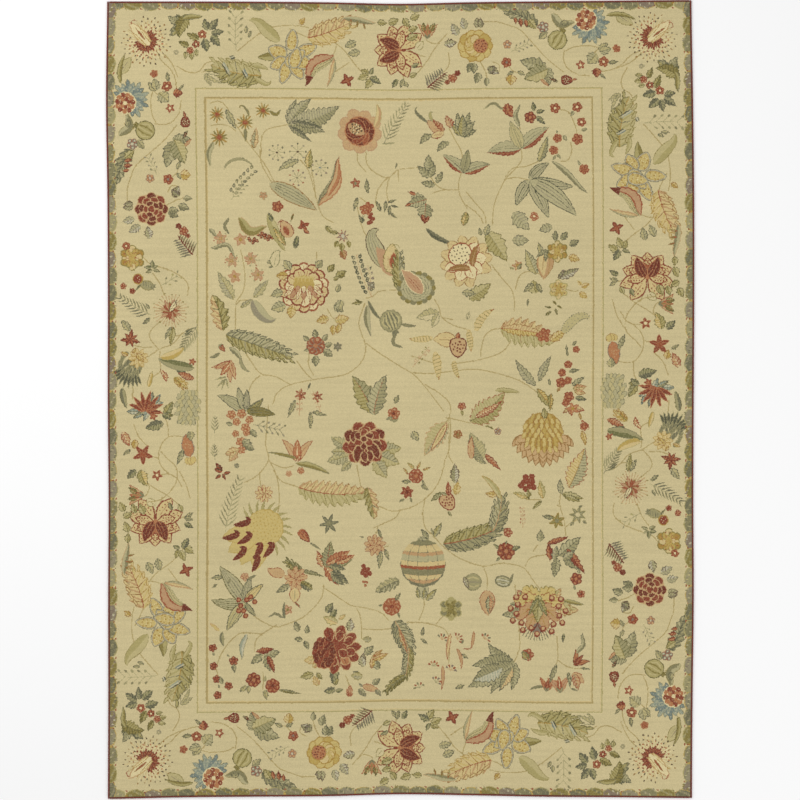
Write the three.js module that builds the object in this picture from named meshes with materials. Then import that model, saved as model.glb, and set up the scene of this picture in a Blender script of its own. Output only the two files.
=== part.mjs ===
// A large hand-knotted wool rug lying flat, pile side up, with its long side along Y.
// The pile and the foundation that it is knotted on are one piece of cloth, so they are one flat solid.
// A dark red edge is worked round it: a cord on each long side and a binding on each end.
// Millimetres, +Z up. The centre of the underside is the origin.

import * as THREE from 'three';

// Overall size between the outer faces of the dark red edges.
const RUG_WIDTH = 2693;
const RUG_LENGTH = 3657;

// Foundation and pile together, and how much lower the edges stand.
const PILE_TOP = 10;
const EDGE_TOP = 9;

// The dark red edge is this wide, and this gap keeps each piece clear of the next.
const EDGE_WIDTH = 8.5;
const GAP = 0.3;

// Steps of the solids across and along the rug.
const STEPS_ACROSS = 28;
const STEPS_ALONG = 38;

// How far the long edges stray outwards from a straight line, by share of the length from the foot.
const SIDE_STRAY = [
  { along: 0.0, left: -2.5, right: -4.4 },
  { along: 0.125, left: -4.1, right: -1.5 },
  { along: 0.25, left: -3.5, right: 3.9 },
  { along: 0.375, left: -5.6, right: 1.9 },
  { along: 0.5, left: -1.9, right: 3.7 },
  { along: 0.625, left: -2.4, right: 6.2 },
  { along: 0.75, left: -0.2, right: 5.9 },
  { along: 0.875, left: 6.2, right: 0.6 },
  { along: 1.0, left: 1.2, right: -6.9 },
];

// How far the ends stray outwards, by share of the width from the left.
const END_STRAY = [
  { along: 0.0, foot: 8.5, head: 2.0 },
  { along: 0.125, foot: 1.3, head: 2.0 },
  { along: 0.25, foot: -1.9, head: 1.2 },
  { along: 0.375, foot: -4.2, head: -1.8 },
  { along: 0.5, foot: -13.0, head: -8.7 },
  { along: 0.625, foot: -7.9, head: -1.3 },
  { along: 0.75, foot: -1.5, head: 2.4 },
  { along: 0.875, foot: 0.8, head: 5.6 },
  { along: 1.0, foot: 4.5, head: 8.6 },
];

// Long low swells that the pile keeps after it has been rolled, with their wavelengths and height.
const PILE_SWELLS = [
  { across: 1450, along: 690, rise: 0.5, start: 0.6 },
  { across: 620, along: 1180, rise: 0.35, start: 2.1 },
  { across: 390, along: 470, rise: 0.2, start: 4.0 },
];

// The pile leans over and rounds down at its edge: distance in from the edge, and drop below the top.
const PILE_SHOULDER = [
  { inset: 0, drop: 2.6 },
  { inset: 1.6, drop: 0.9 },
  { inset: 5, drop: 0 },
];

// Cross-section of the edge, seen along it: share of its width in from outside, and height.
const EDGE_PROFILE = [
  { inward: 0.14, height: 0 },
  { inward: 0.86, height: 0 },
  { inward: 1.0, height: 0.24 * EDGE_TOP },
  { inward: 1.0, height: 0.66 * EDGE_TOP },
  { inward: 0.82, height: 0.92 * EDGE_TOP },
  { inward: 0.5, height: EDGE_TOP },
  { inward: 0.18, height: 0.92 * EDGE_TOP },
  { inward: 0.0, height: 0.66 * EDGE_TOP },
  { inward: 0.0, height: 0.24 * EDGE_TOP },
];

// Colours of the wool as it shows from a few steps away.
const CREAM_WOOL = 0xc6b286;
const DARK_RED_WOOL = 0x7a2f26;

function mix(from, to, share) {
  return from + (to - from) * share;
}

// A smooth curve through one column of a stray table.
function strayAt(table, column, share) {
  const spans = table.length - 1;
  const place = Math.min(Math.max(share, 0), 1) * spans;
  const first = Math.min(Math.floor(place), spans - 1);
  const t = place - first;
  const value = (row) => table[Math.min(Math.max(row, 0), spans)][column];
  const a = value(first);
  const b = value(first + 1);
  const slopeA = (b - value(first - 1)) / 2;
  const slopeB = (value(first + 2) - a) / 2;
  const t2 = t * t;
  const t3 = t2 * t;
  const fromEnds = a * (2 * t3 - 3 * t2 + 1) + b * (3 * t2 - 2 * t3);
  return fromEnds + slopeA * (t3 - 2 * t2 + t) + slopeB * (t3 - t2);
}

const leftX = (share) => -RUG_WIDTH / 2 - strayAt(SIDE_STRAY, 'left', share);
const rightX = (share) => RUG_WIDTH / 2 + strayAt(SIDE_STRAY, 'right', share);
const footY = (share) => -RUG_LENGTH / 2 - strayAt(END_STRAY, 'foot', share);
const headY = (share) => RUG_LENGTH / 2 + strayAt(END_STRAY, 'head', share);

// A place on the rug. Each of across and along is a share of the way plus a shift in millimetres.
function placeOnRug(across, along) {
  const x = mix(leftX(along.share), rightX(along.share), across.share) + across.shift;
  const y = mix(footY(across.share), headY(across.share), along.share) + along.shift;
  return [x, y];
}

// Places from one edge to the other, starting and ending at this inset, with its shoulder steps.
function stepsBetween(inset, steps, shoulder) {
  const near = shoulder.map((s) => ({ share: 0, shift: inset + s.inset, drop: s.drop }));
  const far = shoulder.map((s) => ({ share: 1, shift: -inset - s.inset, drop: s.drop }));
  const between = [];
  for (let i = 1; i < steps; i += 1) {
    between.push({ share: i / steps, shift: 0, drop: 0 });
  }
  return [...near, ...between, ...far.reverse()];
}

function pileHeight(x, y, drop) {
  let height = PILE_TOP - drop;
  for (const swell of PILE_SWELLS) {
    const wave = Math.sin((2 * Math.PI * x) / swell.across + swell.start);
    height += swell.rise * wave * Math.cos((2 * Math.PI * y) / swell.along + swell.start);
  }
  return height;
}

// Collects corners and triangles of one closed solid.
class SolidShape {
  constructor() {
    this.corners = [];
    this.triangles = [];
  }

  corner(x, y, z) {
    this.corners.push(x, y, z);
    return this.corners.length / 3 - 1;
  }

  // Four corners in turn, anticlockwise as seen from outside.
  panel(a, b, c, d) {
    this.triangles.push(a, b, c, a, c, d);
  }

  // A flat end on a ring of corners that runs anticlockwise in flat, a list of 2-D places.
  cap(ring, flat, reversed) {
    const outline = flat.map(([x, y]) => new THREE.Vector2(x, y));
    for (const [a, b, c] of THREE.ShapeUtils.triangulateShape(outline, [])) {
      if (reversed) {
        this.triangles.push(ring[a], ring[c], ring[b]);
      } else {
        this.triangles.push(ring[a], ring[b], ring[c]);
      }
    }
  }

  mesh(name, material) {
    const geometry = new THREE.BufferGeometry();
    geometry.setAttribute('position', new THREE.Float32BufferAttribute(this.corners, 3));
    geometry.setIndex(this.triangles);
    geometry.computeVertexNormals();
    const mesh = new THREE.Mesh(geometry, material);
    mesh.name = name;
    return mesh;
  }
}

// The knotted cloth: a flat underside, upright sides and a pile that swells gently on top.
function knottedCloth(material) {
  const solid = new SolidShape();
  const inset = EDGE_WIDTH + GAP;
  const columns = stepsBetween(inset, STEPS_ACROSS, PILE_SHOULDER);
  const rows = stepsBetween(inset, STEPS_ALONG, PILE_SHOULDER);
  const top = rows.map((row) => columns.map((column) => {
    const [x, y] = placeOnRug(column, row);
    return solid.corner(x, y, pileHeight(x, y, Math.max(row.drop, column.drop)));
  }));
  for (let r = 0; r + 1 < rows.length; r += 1) {
    for (let c = 0; c + 1 < columns.length; c += 1) {
      solid.panel(top[r][c], top[r][c + 1], top[r + 1][c + 1], top[r + 1][c]);
    }
  }

  // The rim runs anticlockwise as seen from above: foot, right, head, left.
  const lastRow = rows.length - 1;
  const lastColumn = columns.length - 1;
  const rim = [
    ...top[0].slice(0, lastColumn),
    ...top.slice(0, lastRow).map((row) => row[lastColumn]),
    ...top[lastRow].slice(1).reverse(),
    ...top.slice(1).map((row) => row[0]).reverse(),
  ];
  const flat = rim.map((at) => [solid.corners[3 * at], solid.corners[3 * at + 1]]);
  const floor = flat.map(([x, y]) => solid.corner(x, y, 0));
  for (let i = 0; i < rim.length; i += 1) {
    const next = (i + 1) % rim.length;
    solid.panel(floor[i], floor[next], rim[next], rim[i]);
  }
  solid.cap(floor, flat, true);
  return solid.mesh('knotted_cloth', material);
}

// One dark red edge: its profile is carried along the rug's outline from station to station.
// onOutline(station, inward) gives the place this far in from the outer face.
function wovenEdge(name, stations, onOutline, clockwise, material) {
  const solid = new SolidShape();
  const rings = stations.map((station) => EDGE_PROFILE.map((point) => {
    const [x, y] = onOutline(station, point.inward * EDGE_WIDTH);
    return solid.corner(x, y, point.height);
  }));
  const count = EDGE_PROFILE.length;
  for (let s = 0; s + 1 < rings.length; s += 1) {
    for (let i = 0; i < count; i += 1) {
      const next = (i + 1) % count;
      const here = [rings[s][i], rings[s][next], rings[s + 1][next], rings[s + 1][i]];
      solid.panel(...(clockwise ? here.reverse() : here));
    }
  }
  const flat = EDGE_PROFILE.map((point) => [point.inward * EDGE_WIDTH, point.height]);
  solid.cap(rings[0], flat, !clockwise);
  solid.cap(rings[rings.length - 1], flat, clockwise);
  return solid.mesh(name, material);
}

function wool(colour) {
  return new THREE.MeshStandardMaterial({ color: colour, roughness: 0.95, metalness: 0 });
}

const noShoulder = [{ inset: 0, drop: 0 }];
const alongSides = stepsBetween(0, STEPS_ALONG, noShoulder);
const acrossEnds = stepsBetween(EDGE_WIDTH + GAP, STEPS_ACROSS, noShoulder);
const fromLeft = (station, inward) => placeOnRug({ share: 0, shift: inward }, station);
const fromRight = (station, inward) => placeOnRug({ share: 1, shift: -inward }, station);
const fromFoot = (station, inward) => placeOnRug(station, { share: 0, shift: inward });
const fromHead = (station, inward) => placeOnRug(station, { share: 1, shift: -inward });

const rug = new THREE.Group();
rug.name = 'hand_knotted_rug';
rug.add(knottedCloth(wool(CREAM_WOOL)));
rug.add(wovenEdge('side_cord_left', alongSides, fromLeft, true, wool(DARK_RED_WOOL)));
rug.add(wovenEdge('side_cord_right', alongSides, fromRight, false, wool(DARK_RED_WOOL)));
rug.add(wovenEdge('end_binding_foot', acrossEnds, fromFoot, false, wool(DARK_RED_WOOL)));
rug.add(wovenEdge('end_binding_head', acrossEnds, fromHead, true, wool(DARK_RED_WOOL)));

export default rug;
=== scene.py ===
"""A large hand-knotted wool rug with scrolling flowers, lying flat, seen from straight above.

The rug is drawn as a weaver works: a chart gives every knot its yarn, and the pile and the back are
made from that chart. Dark red wool is overcast along the sides and bound across the ends.
Lengths are in millimetres and become metres only where a mesh is made.
"""

import sys
import logging
import math
from collections.abc import Callable, Sequence
from dataclasses import dataclass, field, replace
from enum import Enum

import bpy
import numpy as np
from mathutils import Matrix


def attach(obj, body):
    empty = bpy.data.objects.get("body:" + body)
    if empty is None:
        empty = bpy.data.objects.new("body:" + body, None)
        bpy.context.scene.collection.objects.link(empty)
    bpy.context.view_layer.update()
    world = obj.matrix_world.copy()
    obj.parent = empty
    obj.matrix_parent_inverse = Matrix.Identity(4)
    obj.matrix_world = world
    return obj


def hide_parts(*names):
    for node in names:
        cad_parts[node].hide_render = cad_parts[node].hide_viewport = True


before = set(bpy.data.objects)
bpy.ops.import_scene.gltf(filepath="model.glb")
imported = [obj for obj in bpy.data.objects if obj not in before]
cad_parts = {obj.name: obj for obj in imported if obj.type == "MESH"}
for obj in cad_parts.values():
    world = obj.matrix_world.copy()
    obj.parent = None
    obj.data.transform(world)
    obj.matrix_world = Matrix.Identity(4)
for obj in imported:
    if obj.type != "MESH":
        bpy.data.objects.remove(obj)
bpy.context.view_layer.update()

LOG = logging.getLogger("rug")
MM = 0.001


# The chart


CHART_WIDTH = 585.4
CHART_LENGTH = 795.0
SQUARE_MM = 4.6
KNOTS = 2
KNOT_MM = SQUARE_MM / KNOTS

YARNS: dict[str, str] = {
    "cream": "#CBBC8E",
    "ivory": "#DACA99",
    "pearl": "#BDB696",
    "sand": "#CBB57E",
    "straw": "#C4AE6C",
    "yellow": "#B59A52",
    "gold": "#A3813B",
    "ochre": "#906A38",
    "tan": "#B69164",
    "shell": "#BF9E6F",
    "rose_tan": "#B58E68",
    "salmon": "#AC734B",
    "brick": "#945033",
    "red": "#833E2A",
    "maroon": "#6B2E20",
    "umber": "#52402C",
    "vine": "#A8945F",
    "lichen": "#B8AB78",
    "olive_pale": "#A69A63",
    "olive": "#83763E",
    "olive_dark": "#605A30",
    "green": "#6C6B42",
    "sage_pale": "#AFA67C",
    "sage": "#9A9268",
    "sage_dark": "#807A56",
    "slate": "#6E6B50",
    "slate_dark": "#54543F",
    "grey": "#8E856A",
    "mauve": "#80715F",
    "blue": "#6F7B73",
    "blue_pale": "#989C84",
}

Tones = tuple[str, ...]

OLIVE: Tones = ("olive_pale", "olive", "olive_dark")
MOSS: Tones = ("olive", "olive_dark", "olive_dark")
SAGE: Tones = ("sage", "sage_dark", "slate")
SLATE: Tones = ("sage_dark", "slate", "sage")
GREY: Tones = ("grey", "slate", "sage")
BLUE: Tones = ("blue_pale", "blue", "slate")
GREEN: Tones = ("green", "slate_dark", "sage")
GOLD: Tones = ("yellow", "gold", "ochre")
RED: Tones = ("red", "maroon", "salmon")
SALMON: Tones = ("salmon", "brick", "ivory")
ROSY: Tones = ("red", "brick", "salmon")
CORAL: Tones = ("brick", "red", "salmon")
MADDER: Tones = ("red", "maroon", "brick")
BRIGHT: Tones = ("red", "brick", "ivory")
CHERRY: Tones = ("red", "brick", "maroon")
APRICOT: Tones = ("salmon", "brick", "tan")
LICHEN: Tones = ("slate", "sage_dark", "sage")


class Chart:
    """The weaver's chart: one yarn number for every knot, row by row from the top of the rug."""

    def __init__(self) -> None:
        """Starts with every knot in the cream ground."""
        rows = math.ceil(CHART_LENGTH * KNOTS)
        columns = math.ceil(CHART_WIDTH * KNOTS)
        self.numbers = {name: number for number, name in enumerate(YARNS)}
        self.knots = np.zeros((rows, columns), np.uint8)
        self.chance = np.random.default_rng(41)

    def fill(self, outline: np.ndarray, yarn: str) -> None:
        """Ties every knot whose middle lies inside a closed outline.

        Args:
            outline: corners as complex numbers, in chart squares from the top left corner.
            yarn: the yarn's name.
        """
        x, y = outline.real * KNOTS, outline.imag * KNOTS
        next_x, next_y = np.roll(x, -1), np.roll(y, -1)
        rows, columns = self.knots.shape
        low = np.clip(np.ceil(np.minimum(y, next_y) - 0.5), 0, rows).astype(int)
        high = np.clip(np.ceil(np.maximum(y, next_y) - 0.5), 0, rows).astype(int)
        counts = high - low
        total = int(counts.sum())
        if not total:
            return
        edge = np.repeat(np.arange(len(x)), counts)
        row = np.arange(total) - np.repeat(np.cumsum(counts) - counts, counts) + low[edge]
        slope = (next_x - x)[edge] / (next_y - y)[edge]
        column = np.clip(np.ceil(x[edge] + (row + 0.5 - y[edge]) * slope - 0.5), 0, columns).astype(int)
        top, left = row.min(), column.min()
        high_rows, wide = row.max() - top + 1, column.max() - left + 1
        way = np.where(next_y > y, 1, -1)[edge]
        steps = np.bincount((row - top) * wide + column - left, way, high_rows * wide)
        inside = np.cumsum(steps.reshape(high_rows, wide), axis=1)[:, :-1].round() != 0
        self.knots[top : top + high_rows, left : left + wide - 1][inside] = self.numbers[yarn]

    def waver(self, reach: float, cell: int) -> None:
        """Moves every edge a little, as a hand that ties the knots does.

        Args:
            reach: how far, in knots.
            cell: knots from one random value to the next.
        """
        rows, columns = np.indices(self.knots.shape)
        moved = []
        for places, limit in ((rows, rows.shape[0]), (columns, rows.shape[1])):
            off = wander(self.knots.shape, reach, cell, self.chance)
            moved.append(np.clip(np.rint(places + off), 0, limit - 1).astype(int))
        self.knots = self.knots[moved[0], moved[1]]


def wander(shape: tuple[int, int], reach: float, cell: int, chance: np.random.Generator) -> np.ndarray:
    """A soft random field: values at every so many knots, eased between them.

    Args:
        shape: rows and columns of the field.
        reach: the largest value either way.
        cell: knots from one random value to the next.
        chance: the seeded source of the values.

    Returns:
        The field.
    """
    rows, columns = shape
    coarse = chance.uniform(-reach, reach, (rows // cell + 3, columns // cell + 3))
    y, x = np.arange(rows) / cell, np.arange(columns) / cell
    low_y, low_x = y.astype(int), x.astype(int)
    part_y, part_x = (y - low_y)[:, None], (x - low_x)[None, :]
    upper = coarse[low_y][:, low_x] * (1 - part_x) + coarse[low_y][:, low_x + 1] * part_x
    lower = coarse[low_y + 1][:, low_x] * (1 - part_x) + coarse[low_y + 1][:, low_x + 1] * part_x
    return upper * (1 - part_y) + lower * part_y


def smooth(points: Sequence[complex], steps: int = 7) -> np.ndarray:
    """A smooth curve through places.

    Args:
        points: the places, as complex numbers.
        steps: how many steps the curve takes from each place to the next.

    Returns:
        The curve's places.
    """
    p = np.asarray(points, complex)
    padded = np.concatenate([2 * p[:1] - p[1:2], p, 2 * p[-1:] - p[-2:-1]])
    t = np.linspace(0, 1, steps, endpoint=False)[None, :]
    a, b, c, d = (padded[k : len(padded) - 3 + k, None] for k in range(4))
    curve = 0.5 * (2 * b + (c - a) * t + (2 * a - 5 * b + 4 * c - d) * t**2 + (3 * b - a - 3 * c + d) * t**3)
    return np.append(curve.ravel(), p[-1])


def spine(length: float, bend: float = 0, sway: float = 0, curl: float = 0, steps: int = 17) -> np.ndarray:
    """A leaf's middle line, which starts along +x. Angles are in degrees, clockwise positive.

    Args:
        length: its length.
        bend: how far it turns from end to end.
        sway: how far it turns one way and back.
        curl: how far its tip turns more.
        steps: how many places it has.

    Returns:
        The line's places.
    """
    t = np.linspace(0, 1, steps)
    curling = curl * np.clip((t - 0.6) / 0.4, 0, 1) ** 1.5
    heading = np.radians(bend * t + sway * np.sin(2 * np.pi * t) + curling)
    step = np.exp(0.5j * (heading[1:] + heading[:-1])) * length / (steps - 1)
    return np.concatenate([[0], np.cumsum(step)])


def blade(
    length: float,
    width: float,
    bend: float = 0,
    sway: float = 0,
    curl: float = 0,
    tip: float = 1.0,
    teeth: int = 0,
    depth: float = 0.3,
    swell: float = 0.75,
) -> tuple[np.ndarray, np.ndarray, np.ndarray]:
    """A pointed leaf or petal.

    Args:
        length: its length.
        width: its greatest width.
        bend: how far it turns from end to end, in degrees.
        sway: how far it turns one way and back.
        curl: how far its tip turns more.
        tip: how blunt its ends are: below 1 is blunter, above 1 sharper.
        teeth: how many teeth each edge has.
        depth: how deep the teeth are, as a share of half the width.
        swell: where it is widest: below 1 is nearer its foot.

    Returns:
        The middle line, the left edge and the right edge.
    """
    steps = max(17, 4 * teeth + 1)
    middle = spine(length, bend, sway, curl, steps)
    t = np.linspace(0, 1, steps)
    way = np.gradient(middle)
    half = 0.5 * width * np.sin(np.pi * t**swell) ** tip
    if teeth:
        half = half * (1 + depth * np.resize([0.1, 0.5, 0.9, -0.5], steps))
    side = 1j * way / np.abs(way) * half
    return middle, middle - side, middle + side


def loop(first: np.ndarray, second: np.ndarray) -> np.ndarray:
    """A closed outline that runs along one edge and back along the other."""
    return np.concatenate([first, second[::-1]])


def inside(middle: np.ndarray, edge: np.ndarray, depth: float) -> np.ndarray:
    """An edge moved inwards by a depth, as far as the middle line."""
    away = edge - middle
    return middle + away * np.clip(1 - depth / np.maximum(np.abs(away), 1e-6), 0, 1)


@dataclass(frozen=True)
class Pen:
    """Draws on the chart from a place of its own, with its own heading, size and mirroring."""

    chart: Chart
    at: complex = 0
    turn: complex = 1
    mirrored: bool = False

    def place(self, points: np.ndarray | complex) -> np.ndarray | complex:
        """Local places as chart places."""
        return self.at + self.turn * (np.conj(points) if self.mirrored else points)

    def moved(self, at: complex = 0, heading: float = 0, size: float = 1, mirrored: bool = False) -> "Pen":
        """A pen further on, turned by heading in degrees, clockwise positive.

        Args:
            at: where to, as this pen sees it.
            heading: how far it turns, in degrees, clockwise.
            size: how much larger it draws.
            mirrored: whether it draws in mirror image.

        Returns:
            The new pen.
        """
        turn = size * np.exp(1j * math.radians(heading))
        turn = np.conj(turn) if self.mirrored else turn
        return Pen(self.chart, self.place(at), self.turn * turn, self.mirrored != mirrored)

    def fill(self, points: np.ndarray, yarn: str) -> None:
        """Fills a closed outline."""
        self.chart.fill(self.place(np.asarray(points, complex)), yarn)

    def line(self, points: Sequence[complex], width: float, yarn: str, taper: float = 1.0) -> None:
        """A line as wide as width, and taper times that at its far end.

        Args:
            points: its middle line.
            width: its width in chart squares.
            yarn: its yarn.
            taper: its width at the far end, as a share.
        """
        p = np.asarray(points, complex)
        way = np.gradient(p) if len(p) > 1 else np.ones(1, complex)
        half = 0.5 * width / abs(self.turn) * np.linspace(1, taper, len(p))
        side = 1j * way / np.maximum(np.abs(way), 1e-9) * half
        self.fill(np.concatenate([p - side, (p + side)[::-1]]), yarn)

    def curve(self, points: Sequence[complex], width: float, yarn: str, taper: float = 1.0) -> None:
        """A smooth line through the points."""
        self.line(smooth(points), width, yarn, taper)

    def dot(self, at: complex, radius: float, yarn: str, high: float = 1.0) -> None:
        """A round or oval dot."""
        t = np.linspace(0, 2 * np.pi, 13)[:-1]
        self.fill(at + radius * (np.cos(t) + 1j * high * np.sin(t)), yarn)

    def petal(
        self, length: float, width: float, yarn: str, rim: str = "", rim_width: float = 1.0, **shape: float
    ) -> None:
        """A petal or leaf of one yarn, with a rim of another where one is named.

        Args:
            length: its length.
            width: its greatest width.
            yarn: the yarn that fills it.
            rim: the yarn of its rim, if it has one.
            rim_width: how wide the rim is.
            shape: its bend, sway, curl and the like, as for a blade.
        """
        middle, left, right = blade(length, width, **shape)
        self.fill(loop(left, right), rim or yarn)
        if rim:
            depth = rim_width / abs(self.turn)
            self.fill(loop(inside(middle, left, depth), inside(middle, right, depth)), yarn)

    def stipple(self, at: complex, radius: float, yarn: str, count: int, dot: float = 0.45,
            high: float = 1.0) -> None:
        """Dots spread evenly over a round or oval patch, as seeds are in a sunflower.

        Args:
            at: the middle of the patch.
            radius: its radius.
            yarn: the yarn of the dots.
            count: how many dots.
            dot: the radius of a dot.
            high: the patch's height as a share of its width.
        """
        for k in range(count):
            reach = radius * math.sqrt((k + 0.5) / count)
            turn = 2.4 * k + 0.7
            self.dot(at + reach * complex(math.cos(turn), high * math.sin(turn)), dot / abs(self.turn), yarn)


# A motif is drawn with a pen that stands where it grows from, at a size in chart squares, and its docstring
# says in order what its yarns, or tones, are for. More sizes are shares of that size, and angles are degrees.
Motif = Callable[..., None]


@dataclass(frozen=True)
class Placed:
    """One motif of the design: what it is, where it grows from, its heading, its size and its yarns.

    Places and sizes are in chart squares. A heading of 0 grows to the right, and 90 grows down.
    """

    motif: Motif
    x: float
    y: float
    heading: float
    size: float
    tones: Tones = ()
    options: dict[str, float | str | Tones] = field(default_factory=dict)
    mirrored: bool = False

    def draw(self, pen: Pen) -> None:
        """Draws it with a pen that stands at the drawing's origin.

        Args:
            pen: stands where it grows from.
        """
        here = pen.moved(complex(self.x, self.y), self.heading, 1, self.mirrored)
        if self.tones:
            self.motif(here, self.size, self.tones, **self.options)
        else:
            self.motif(here, self.size, **self.options)


PALER: dict[str, str] = {
    "slate_dark": "slate", "slate": "sage", "sage_dark": "sage_pale", "sage": "lichen", "green": "sage",
    "olive_dark": "olive", "olive": "olive_pale", "olive_pale": "lichen", "mauve": "pearl",
    "grey": "sage_pale",
    "blue": "blue_pale", "blue_pale": "pearl", "maroon": "red", "red": "salmon", "brick": "rose_tan",
    "salmon": "shell", "rose_tan": "shell", "tan": "sand", "ochre": "tan", "gold": "straw", "yellow": "sand",
    "straw": "sand", "shell": "sand", "umber": "brick",
}


DEEPER: dict[str, str] = {
    "slate": "slate_dark", "sage": "sage_dark", "sage_dark": "slate_dark", "sage_pale": "sage_dark",
    "green": "olive_dark",
    "olive": "olive_dark", "olive_pale": "olive", "lichen": "olive_pale", "mauve": "umber", "grey": "slate",
    "blue_pale": "blue", "blue": "slate_dark", "red": "maroon", "brick": "red", "salmon": "brick",
    "shell": "salmon",
    "rose_tan": "brick", "tan": "ochre", "gold": "ochre", "yellow": "gold", "straw": "gold", "ochre": "brick",
    "pearl": "grey", "ivory": "tan", "sand": "gold",
}


def deep(yarn: str) -> str:
    """The next darker yarn of the same family."""
    return DEEPER.get(yarn, yarn)


def pale(yarn: str) -> str:
    """The next lighter yarn of the same family."""
    return PALER.get(yarn, yarn)


def round_way(turn: float) -> complex:
    """The direction at a turn in degrees."""
    return complex(math.cos(math.radians(turn)), math.sin(math.radians(turn)))


def headings(middle: np.ndarray) -> np.ndarray:
    """The heading in degrees at each place of a middle line."""
    return np.angle(np.gradient(middle), deg=True)


def leaf(pen: Pen, size: float, tones: Tones, width: float = 0.4, rim: str = "", rib: float = 0.5,
        **shape: float) -> None:
    """A pointed leaf, outlined and veined.

    Args:
        pen: stands where it grows from.
        size: its size in chart squares.
        tones: one half, the other half, rib.
        width: its width as a share of its length.
        rim: the yarn of its rim, if it has one.
        rib: how thin its rib gets toward the tip.
        shape: its bend, sway, curl and the like, as for a blade.
    """
    light, dark, vein = tones[:3]
    wide = size * abs(pen.turn)
    if wide > 9:
        shape = {"teeth": round(wide / 5.5), "depth": 0.24, **shape}
    middle, left, right = blade(size, size * width, **shape)
    line = (0.85 if wide > 9 else 0.6) / abs(pen.turn)
    edge = rim or (deep(dark) if wide > 7 else dark)
    pen.fill(loop(left, right), edge)
    if size * width * abs(pen.turn) > 2.6:
        pen.fill(loop(inside(middle, left, line), middle), pale(light))
        pen.fill(loop(inside(middle, right, line), middle), pale(dark) if wide > 12 else light)
    pen.line(middle[:-3], rib + 0.3, edge if vein in (light, dark) else vein, 0.6)
    if wide > 9:
        step = max(2, round(len(middle) * 2.6 / wide))
        for k in range(step, len(middle) - step, step):
            for tone, side in ((light, left), (dark, right)):
                end = side[min(k + step, len(side) - 1)]
                pen.line([middle[k], middle[k] + 0.85 * (end - middle[k])], 0.75, tone)


def finger(pen: Pen, size: float, tones: Tones, width: float = 0.3, **shape: float) -> None:
    """A long smooth leaf striped along its length.

    Args:
        pen: stands where it grows from.
        size: its size in chart squares.
        tones: body, outline, stripes.
        width: its width as a share of its length.
        shape: its bend, sway, curl and the like, as for a blade.
    """
    middle, left, right = blade(size, size * width, tip=0.8, **shape)
    line = 0.85 / abs(pen.turn)
    pen.fill(loop(left, right), deep(tones[1]))
    pen.fill(loop(inside(middle, left, line), inside(middle, right, line)), pale(tones[0]))
    for share in (-0.55, -0.2, 0.15, 0.5):
        edge = left if share < 0 else right
        pen.line((middle + abs(share) * (edge - middle))[2:-2], 0.85,
            tones[0] if share in (-0.2, 0.5) else tones[2], 0.5)


def lobed(pen: Pen, size: float, tones: Tones, width: float, lobes: int, depth: float,
        **shape: float) -> None:
    """A long leaf with a lobed edge and slanting veins.

    Args:
        pen: stands where it grows from.
        size: its size in chart squares.
        tones: one side, the other side, rib, accent.
        width: its width as a share of its length.
        lobes: how many lobes each edge has.
        depth: how deep the lobes are.
        shape: its bend, sway, curl and the like, as for a blade.
    """
    middle, left, right = blade(size, size * width, teeth=lobes, depth=depth, **{"tip": 0.6, **shape})
    line = 1.0 / abs(pen.turn)
    accent = tones[3] if len(tones) > 3 else tones[2]
    for tone, side in ((tones[0], left), (tones[1], right)):
        pen.fill(loop(side, middle), deep(tone))
        pen.fill(loop(inside(middle, side, line), middle), pale(tone))
        for k in range(lobes):
            for back, yarn, share, thick in ((4, tone, 0.9, 1.9),
                    (1, accent if k % 3 == 0 else deep(tone), 0.8, 0.9)):
                start = middle[max(4 * k - back, 0)]
                pen.line([start, start + share * (side[4 * k + 2] - start)], thick, yarn, 0.5)
    pen.line(middle, 1.1, tones[2], 0.4)


def feather(pen: Pen, size: float, tones: Tones, width: float = 0.28, teeth: int = 9, **shape: float) -> None:
    """A long leaf, toothed or smooth and striped.

    Args:
        pen: stands where it grows from.
        size: its size in chart squares.
        tones: one side, the other side, rib, accent.
        width: its width as a share of its length.
        teeth: 0 for a smooth leaf.
        shape: its bend, sway, curl and the like, as for a blade.
    """
    if teeth:
        lobed(pen, size, tones, width, max(5, round(size * abs(pen.turn) / 6.8)), 0.34, **shape)
    else:
        finger(pen, size, tones, width, **shape)


def plume(
    pen: Pen, size: float, tones: Tones, width: float = 0.42, pairs: int = 6, full: float = 2.0,
    **shape: float
) -> None:
    """A leaf cut into pointed curling lobes.

    Args:
        pen: stands where it grows from.
        size: its size in chart squares.
        tones: one side, the other side, rib, accent.
        width: its width as a share of its length.
        pairs: how many pairs it has.
        full: how wide its lobes are.
        shape: its bend, sway, curl and the like, as for a blade.
    """
    lobed(pen, size, tones, width * 0.8, pairs, 0.5, **shape)
    middle, left, right = blade(size, size * width * 0.8, teeth=pairs, depth=0.5, **{"tip": 0.6, **shape})
    way = headings(middle)
    space = size / pairs
    for k in range(pairs):
        for side, tone, edge in ((-1, tones[0], left), (1, tones[1], right)):
            place = middle[4 * k + 2] + 0.62 * (edge[4 * k + 2] - middle[4 * k + 2])
            one = pen.moved(place, way[4 * k + 2] + side * 40)
            one.petal(space * 0.5 + size * width * 0.2, space * 0.42 * full / 2, pale(tone), deep(tone), 0.7,
                bend=-40 * side, tip=0.8)


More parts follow.
